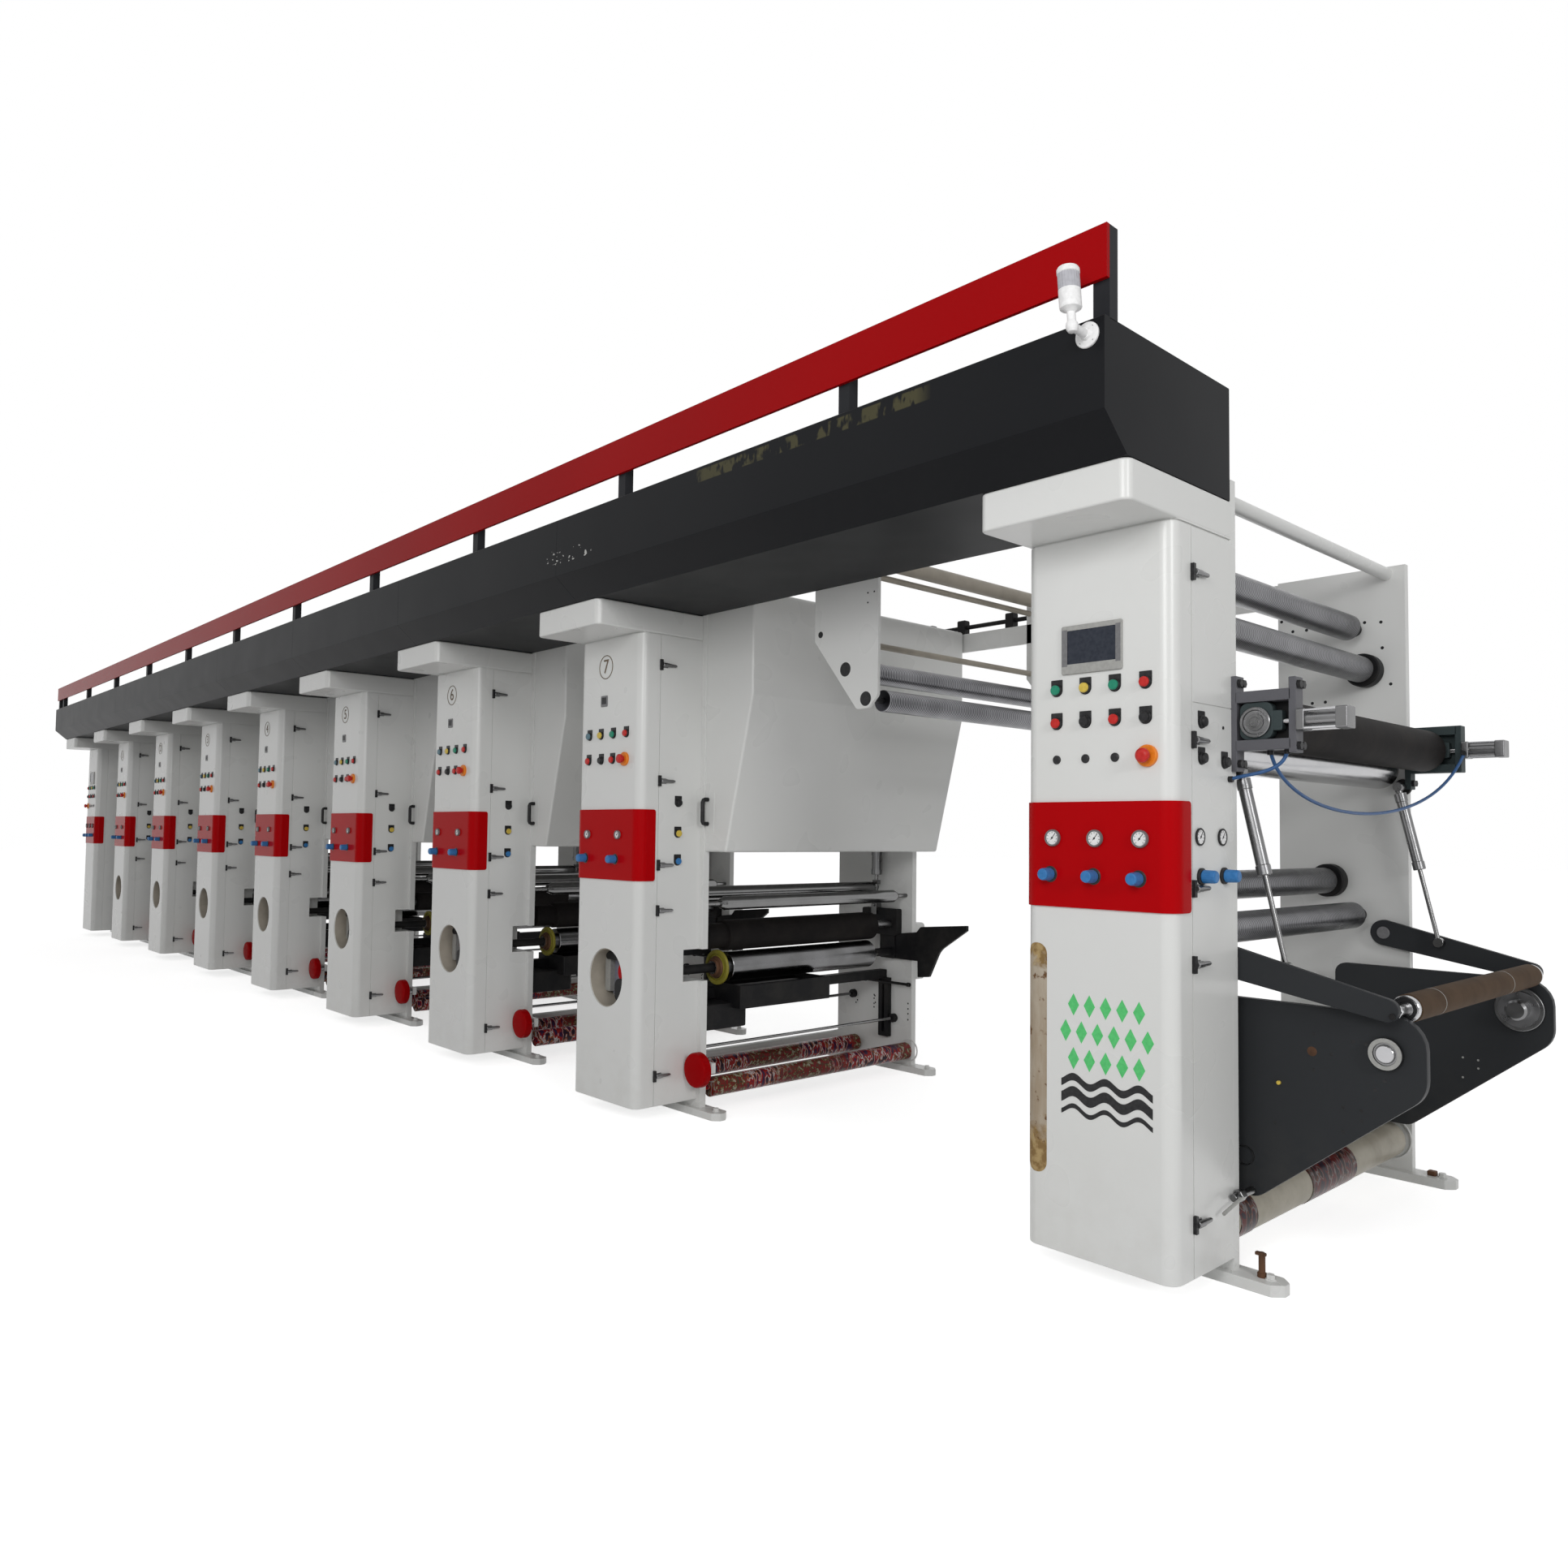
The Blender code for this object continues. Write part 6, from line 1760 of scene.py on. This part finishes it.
outline = link(PIVOT, 0.05, (0.914, 0.849), 0.032)
lay_near, lay_far = INNER_NEAR + 0.006, INNER_FAR - 0.006
PIN_OFFSET = 0.058
lift_arms = meshed(
    plate(outline, "y", lay_near, lay_near + 0.024, 0.003),
    plate(outline, "y", lay_far - 0.024, lay_far, 0.003)
)
pivot_bores = [
    rod("y", PIVOT, y - 0.02, y + 0.02, 0.0168, 0.0, 32) for y in (lay_near + 0.01, lay_far - 0.01)
]
piece(
    "lay_on_arms_plates", carved(lift_arms, pivot_bores), arm_paint, REWIND_X, body="lay_on_arm_pair",
    stands_for=["lay_on_arms"]
)
pins = [
    rod("y", LAY_ON_END, lay_near + 0.005, lay_far - 0.005, 0.0138, 0.001, 24),
    rod("y", ROD_END, lay_near + 0.005, INNER_NEAR + PIN_OFFSET - 0.0123, 0.016, 0.001, 24),
    rod("y", ROD_END, INNER_FAR - PIN_OFFSET + 0.0123, lay_far - 0.005, 0.016, 0.001, 24),
]
piece("lay_on_shaft", meshed(*pins), steel, REWIND_X, body="lay_on_arm_pair")
sleeve_start, sleeve_end = ARM_NEAR + ARM_PLATE + 0.006, ARM_FAR - 0.006
race = [
    (0.0, 0.0138), (0.0, 0.021), (0.004, 0.022), (0.004, 0.030), (0.0, 0.031), (0.0, 0.0355),
    (0.002, 0.0375), (0.020, 0.0375), (0.020, 0.0138)
]
races, seals = [], []
for end, inward in ((sleeve_start, 1), (sleeve_end, -1)):
    races.append(lathe([(end + inward * along, radius) for along, radius in race], "y", LAY_ON_END, 40))
    low, high = sorted((end + inward * 0.0032, end + inward * 0.0045))
    seals.append(hoop([(0.0222, low), (0.0298, low), (0.0298, high), (0.0222, high)], "y", LAY_ON_END))
piece("lay_on_bearings", meshed(*races), polished, REWIND_X, body="lay_on_arm_pair")
piece("lay_on_bearing_seals", meshed(*seals), jet, REWIND_X, body="lay_on_arm_pair")
tips = [
    rod("y", (0.931, 0.835), lay_near - 0.008, lay_near + 0.004, 0.0085, 0.001, 6),
    rod("y", (0.931, 0.835), lay_far - 0.004, lay_far + 0.008, 0.0085, 0.001, 6)
]
piece("lay_on_clamp_bolts", meshed(*tips), black, REWIND_X, body="lay_on_arm_pair")
nuts = [
    rod("y", LAY_ON_END, *span, 0.019, 0.002, 6) for span in (
        (lay_near + 0.024, lay_near + 0.036), (lay_far - 0.036, lay_far - 0.024)
    )
]
piece("lay_on_shaft_nuts", meshed(*nuts), polished, REWIND_X, body="lay_on_arm_pair")
kraft_start, kraft_end = sleeve_start + 0.0225, sleeve_end - 0.0225
sleeve = lathe(
    [
        (kraft_start, 0.017), (kraft_start, 0.038), (kraft_start + 0.002, 0.04), (kraft_end - 0.002, 0.04),
        (kraft_end, 0.038), (kraft_end, 0.017)
    ],
    "y", LAY_ON_END, 40
)
piece(
    "lay_on_sleeve", meshed(sleeve), kraft, REWIND_X, body="lay_on_rubber_roller",
    stands_for=["lay_on_roller"]
)
tape = [
    hoop(
        [(0.0395, y), (0.0403, y), (0.0403, y + 0.003), (0.0395, y + 0.003)], "y", LAY_ON_END
    ) for y in (0.71, 1.39)
]
piece("lay_on_tape_rings", meshed(*tape), pale_grey, REWIND_X, body="lay_on_rubber_roller")
pivot_pins = [
    rod("y", PIVOT, *span, 0.016, 0.001, 24) for span in (
        (INNER_NEAR - 0.005, INNER_NEAR + 0.034), (INNER_FAR - 0.034, INNER_FAR + 0.005)
    )
]
lugs = [
    rod("y", BARREL_TOP, *span, 0.032, 0.003, 32) for span in (
        (INNER_NEAR - 0.005, INNER_NEAR + 0.012), (INNER_FAR - 0.012, INNER_FAR + 0.005)
    )
]
in_stands("lift_lugs", meshed(*lugs), black)
lugs = [
    rod("y", BARREL_TOP, *span, 0.016, 0.001, 24) for span in (
        (INNER_NEAR - 0.005, INNER_NEAR + PIN_OFFSET - 0.0123),
        (INNER_FAR - PIN_OFFSET + 0.0123, INNER_FAR + 0.005)
    )
]
in_stands("pins_and_lugs", meshed(*pivot_pins, *lugs), steel)
pivot_faces = [
    rod("y", PIVOT, *span, 0.024, 0.002, 32) for span in (
        (INNER_NEAR + 0.0302, INNER_NEAR + 0.036), (INNER_FAR - 0.036, INNER_FAR - 0.0302)
    )
]
in_stands("pivot_washers", meshed(*pivot_faces), grey)

run, drop = ROD_END[0] - BARREL_TOP[0], BARREL_TOP[1] - ROD_END[1]
line_length, lean = math.hypot(run, drop), math.atan2(run, drop)
for side, y in (("near", INNER_NEAR + PIN_OFFSET), ("far", INNER_FAR - PIN_OFFSET)):
    hang = Matrix.Translation((BARREL_TOP[0], y, BARREL_TOP[1])) @ Matrix.Rotation(-lean, 4, "Y")
    barrel = meshed(
        lathe(
            [
                (-0.33, 0.0085), (-0.33, 0.020), (-0.328, 0.022), (-0.30, 0.022), (-0.298, 0.0195),
                (-0.062, 0.0195), (-0.06, 0.022), (-0.028, 0.022), (-0.026, 0.010), (-0.004, 0.010)
            ],
            "z", (0, 0)
        ),
        rod("y", (0, 0), -0.012, 0.012, 0.018, 0.001, 24),
    )
    barrel.transform(hang)
    piece(f"air_cylinder_{side}_body", barrel, steel, REWIND_X, stands_for=[f"air_cylinder_{side}"])
    piston = meshed(
        rod("z", (0, 0), -line_length, -0.19, 0.008, 0.0005, 20),
        rod("y", (0, -line_length), -0.012, 0.012, 0.018, 0.001, 24)
    )
    piston.transform(hang)
    piece(
        f"piston_rod_{side}_body", piston, chrome, REWIND_X, body=f"piston_{side}",
        stands_for=[f"piston_rod_{side}"]
    )

# %% [markdown]
# ## Bridge and beacon
# Between the last unit and the rewinder a hanging plate, a beam and two more grooved rollers carry
# the film across. The beacon stands on an elbow at the end of the duct.

# %% The bridge, in the last unit's coordinates, and the beacon
LAST_X = UNITS[-1][1]
bridge_outline = rounded(
    [
        (1.283, 2.56, 0.004), (1.283, 2.134, 0.004), (1.531, 1.829, 0.02), (1.598, 1.829, 0.02),
        (1.648, 1.879, 0.02), (1.648, 2.56, 0.004)
    ]
)
bridge_near, bridge_far = CABINET_DEPTH + 0.0003, WALL_BACK + 0.0003
bridge_plates = [plate(bridge_outline, "y", y, y + 0.015, 0.001) for y in (bridge_near, bridge_far)]
beam = block(
    (UNIT_WIDTH - 0.10, UNIT_WIDTH + 2.189), (bridge_far, bridge_far + 0.015), (2.32, WALL_TOP), 0.001
)
piece("bridge_plates", meshed(*bridge_plates, beam), white, LAST_X, stands_for=["bridge"])
bridge_rollers = [
    roller(
        place, 0.045, 0.003, start=bridge_near + 0.01, end=bridge_far + 0.01, inset=0.09
    ) for place in ((1.466, 1.999), (1.582, 1.868))
]
piece("bridge_rollers", meshed(*bridge_rollers), grooved, LAST_X)
bridge_rods = [
    rod(
        "y", place, bridge_near + 0.005, bridge_far + 0.01, 0.014, 0.001, 20
    ) for place in ((1.305, 2.161), (1.30, 2.475))
]
piece("bridge_rods", meshed(*bridge_rods), beige, LAST_X)
piece(
    "bridge_tube",
    meshed(rod("y", (1.36, 2.525), bridge_near + 0.01, bridge_far + 0.004, 0.034, 0.001, 32)), beige, LAST_X
)
discs = [
    rod("y", place, bridge_near - 0.0006, bridge_near + 0.02, radius, 0.0004, 32) for place,
    radius in (
        ((1.466, 1.999), 0.030), ((1.582, 1.868), 0.030), ((1.318, 2.161), 0.014), ((1.59, 2.30), 0.004),
        ((1.625, 2.30), 0.004), ((1.59, 2.26), 0.004)
    )
]
discs += [
    rod(
        "y", place, bridge_near + 0.012, bridge_near + 0.105, 0.0135, 0.001, 20
    ) for place in ((1.466, 1.999), (1.582, 1.868))
]
piece("bridge_discs", meshed(*discs), jet, LAST_X)
clamps = [
    block(
        (x - 0.025, x + 0.025), (bridge_far + 0.0003, bridge_far + 0.05),
        (WALL_TOP - 0.05, WALL_TOP + 0.08), 0.004, 0.01, "x"
    ) for x in (0.62, 0.85, 1.17)
]
clamps.append(rod("x", (bridge_far + 0.025, WALL_TOP + 0.04), 0.57, 1.288, 0.012, 0.001, 20))
piece("bridge_clamps", meshed(*clamps), black, LAST_X)

BEACON_X, BEACON_Z, ARM_OUT, LEAN = LINE_HALF - 0.05, 2.66, 0.075, -0.08
elbow_y = -DUCT_REACH - 0.0003
lamp_axis = (0, elbow_y - ARM_OUT)


def leaning(shape):
    """The shape raised to the elbow and leaned: x + LEAN z for a point z above the elbow."""
    points, blocks = shape
    return points + np.outer(points[:, 2], (LEAN, 0, 0)) + (0, 0, BEACON_Z), blocks


elbow = [
    (-0.017, 0.005), (-0.0145, 0.0115), (-0.007, 0.016), (0.002, 0.017), (0.010, 0.015), (0.015, 0.0115),
    (0.038, 0.0115), (0.046, 0.021), (0.049, 0.028), (0.052, 0.0295), (0.100, 0.0295)
]
beacon = [
    lathe(
        [
            (elbow_y, 0.035), (elbow_y - 0.005, 0.035), (elbow_y - 0.007, 0.033), (elbow_y - 0.009, 0.017),
            (elbow_y - 0.017, 0.014)
        ],
        "y", (0, BEACON_Z), 40
    ),
    rod("y", (0, BEACON_Z), elbow_y - ARM_OUT, elbow_y - 0.001, 0.012, 0.002, 24),
    leaning(lathe(elbow, "z", lamp_axis, 40)),
    leaning(
        lathe(
            [(0.144, 0.028), (0.146, 0.0303), (0.156, 0.0303), (0.162, 0.027), (0.165, 0.019)], "z",
            lamp_axis, 40
        )
    ),
]
piece("beacon_body", meshed(*beacon), pale, BEACON_X, stands_for=["beacon_lamp"])
lamp_glass = leaning(
    lathe([(0.095, 0.025), (0.095, 0.0285), (0.148, 0.0285), (0.148, 0.025)], "z", lamp_axis, 96, 0.02, 24)
)
piece("beacon_lens", meshed(lamp_glass), lens_grey, BEACON_X)
screws = [
    rod(
        "y", (dx, BEACON_Z + dz), elbow_y - 0.0078, elbow_y - 0.004, 0.0035, 0.0005, 12
    ) for dx in (-0.018, 0.018) for dz in (-0.018, 0.018)
]
piece("beacon_screws", meshed(*screws), grey, BEACON_X)

# %% Size of the dressed press, for comparison with the CAD box
[[list(corner) for corner in box] for box in (cad_box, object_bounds())]
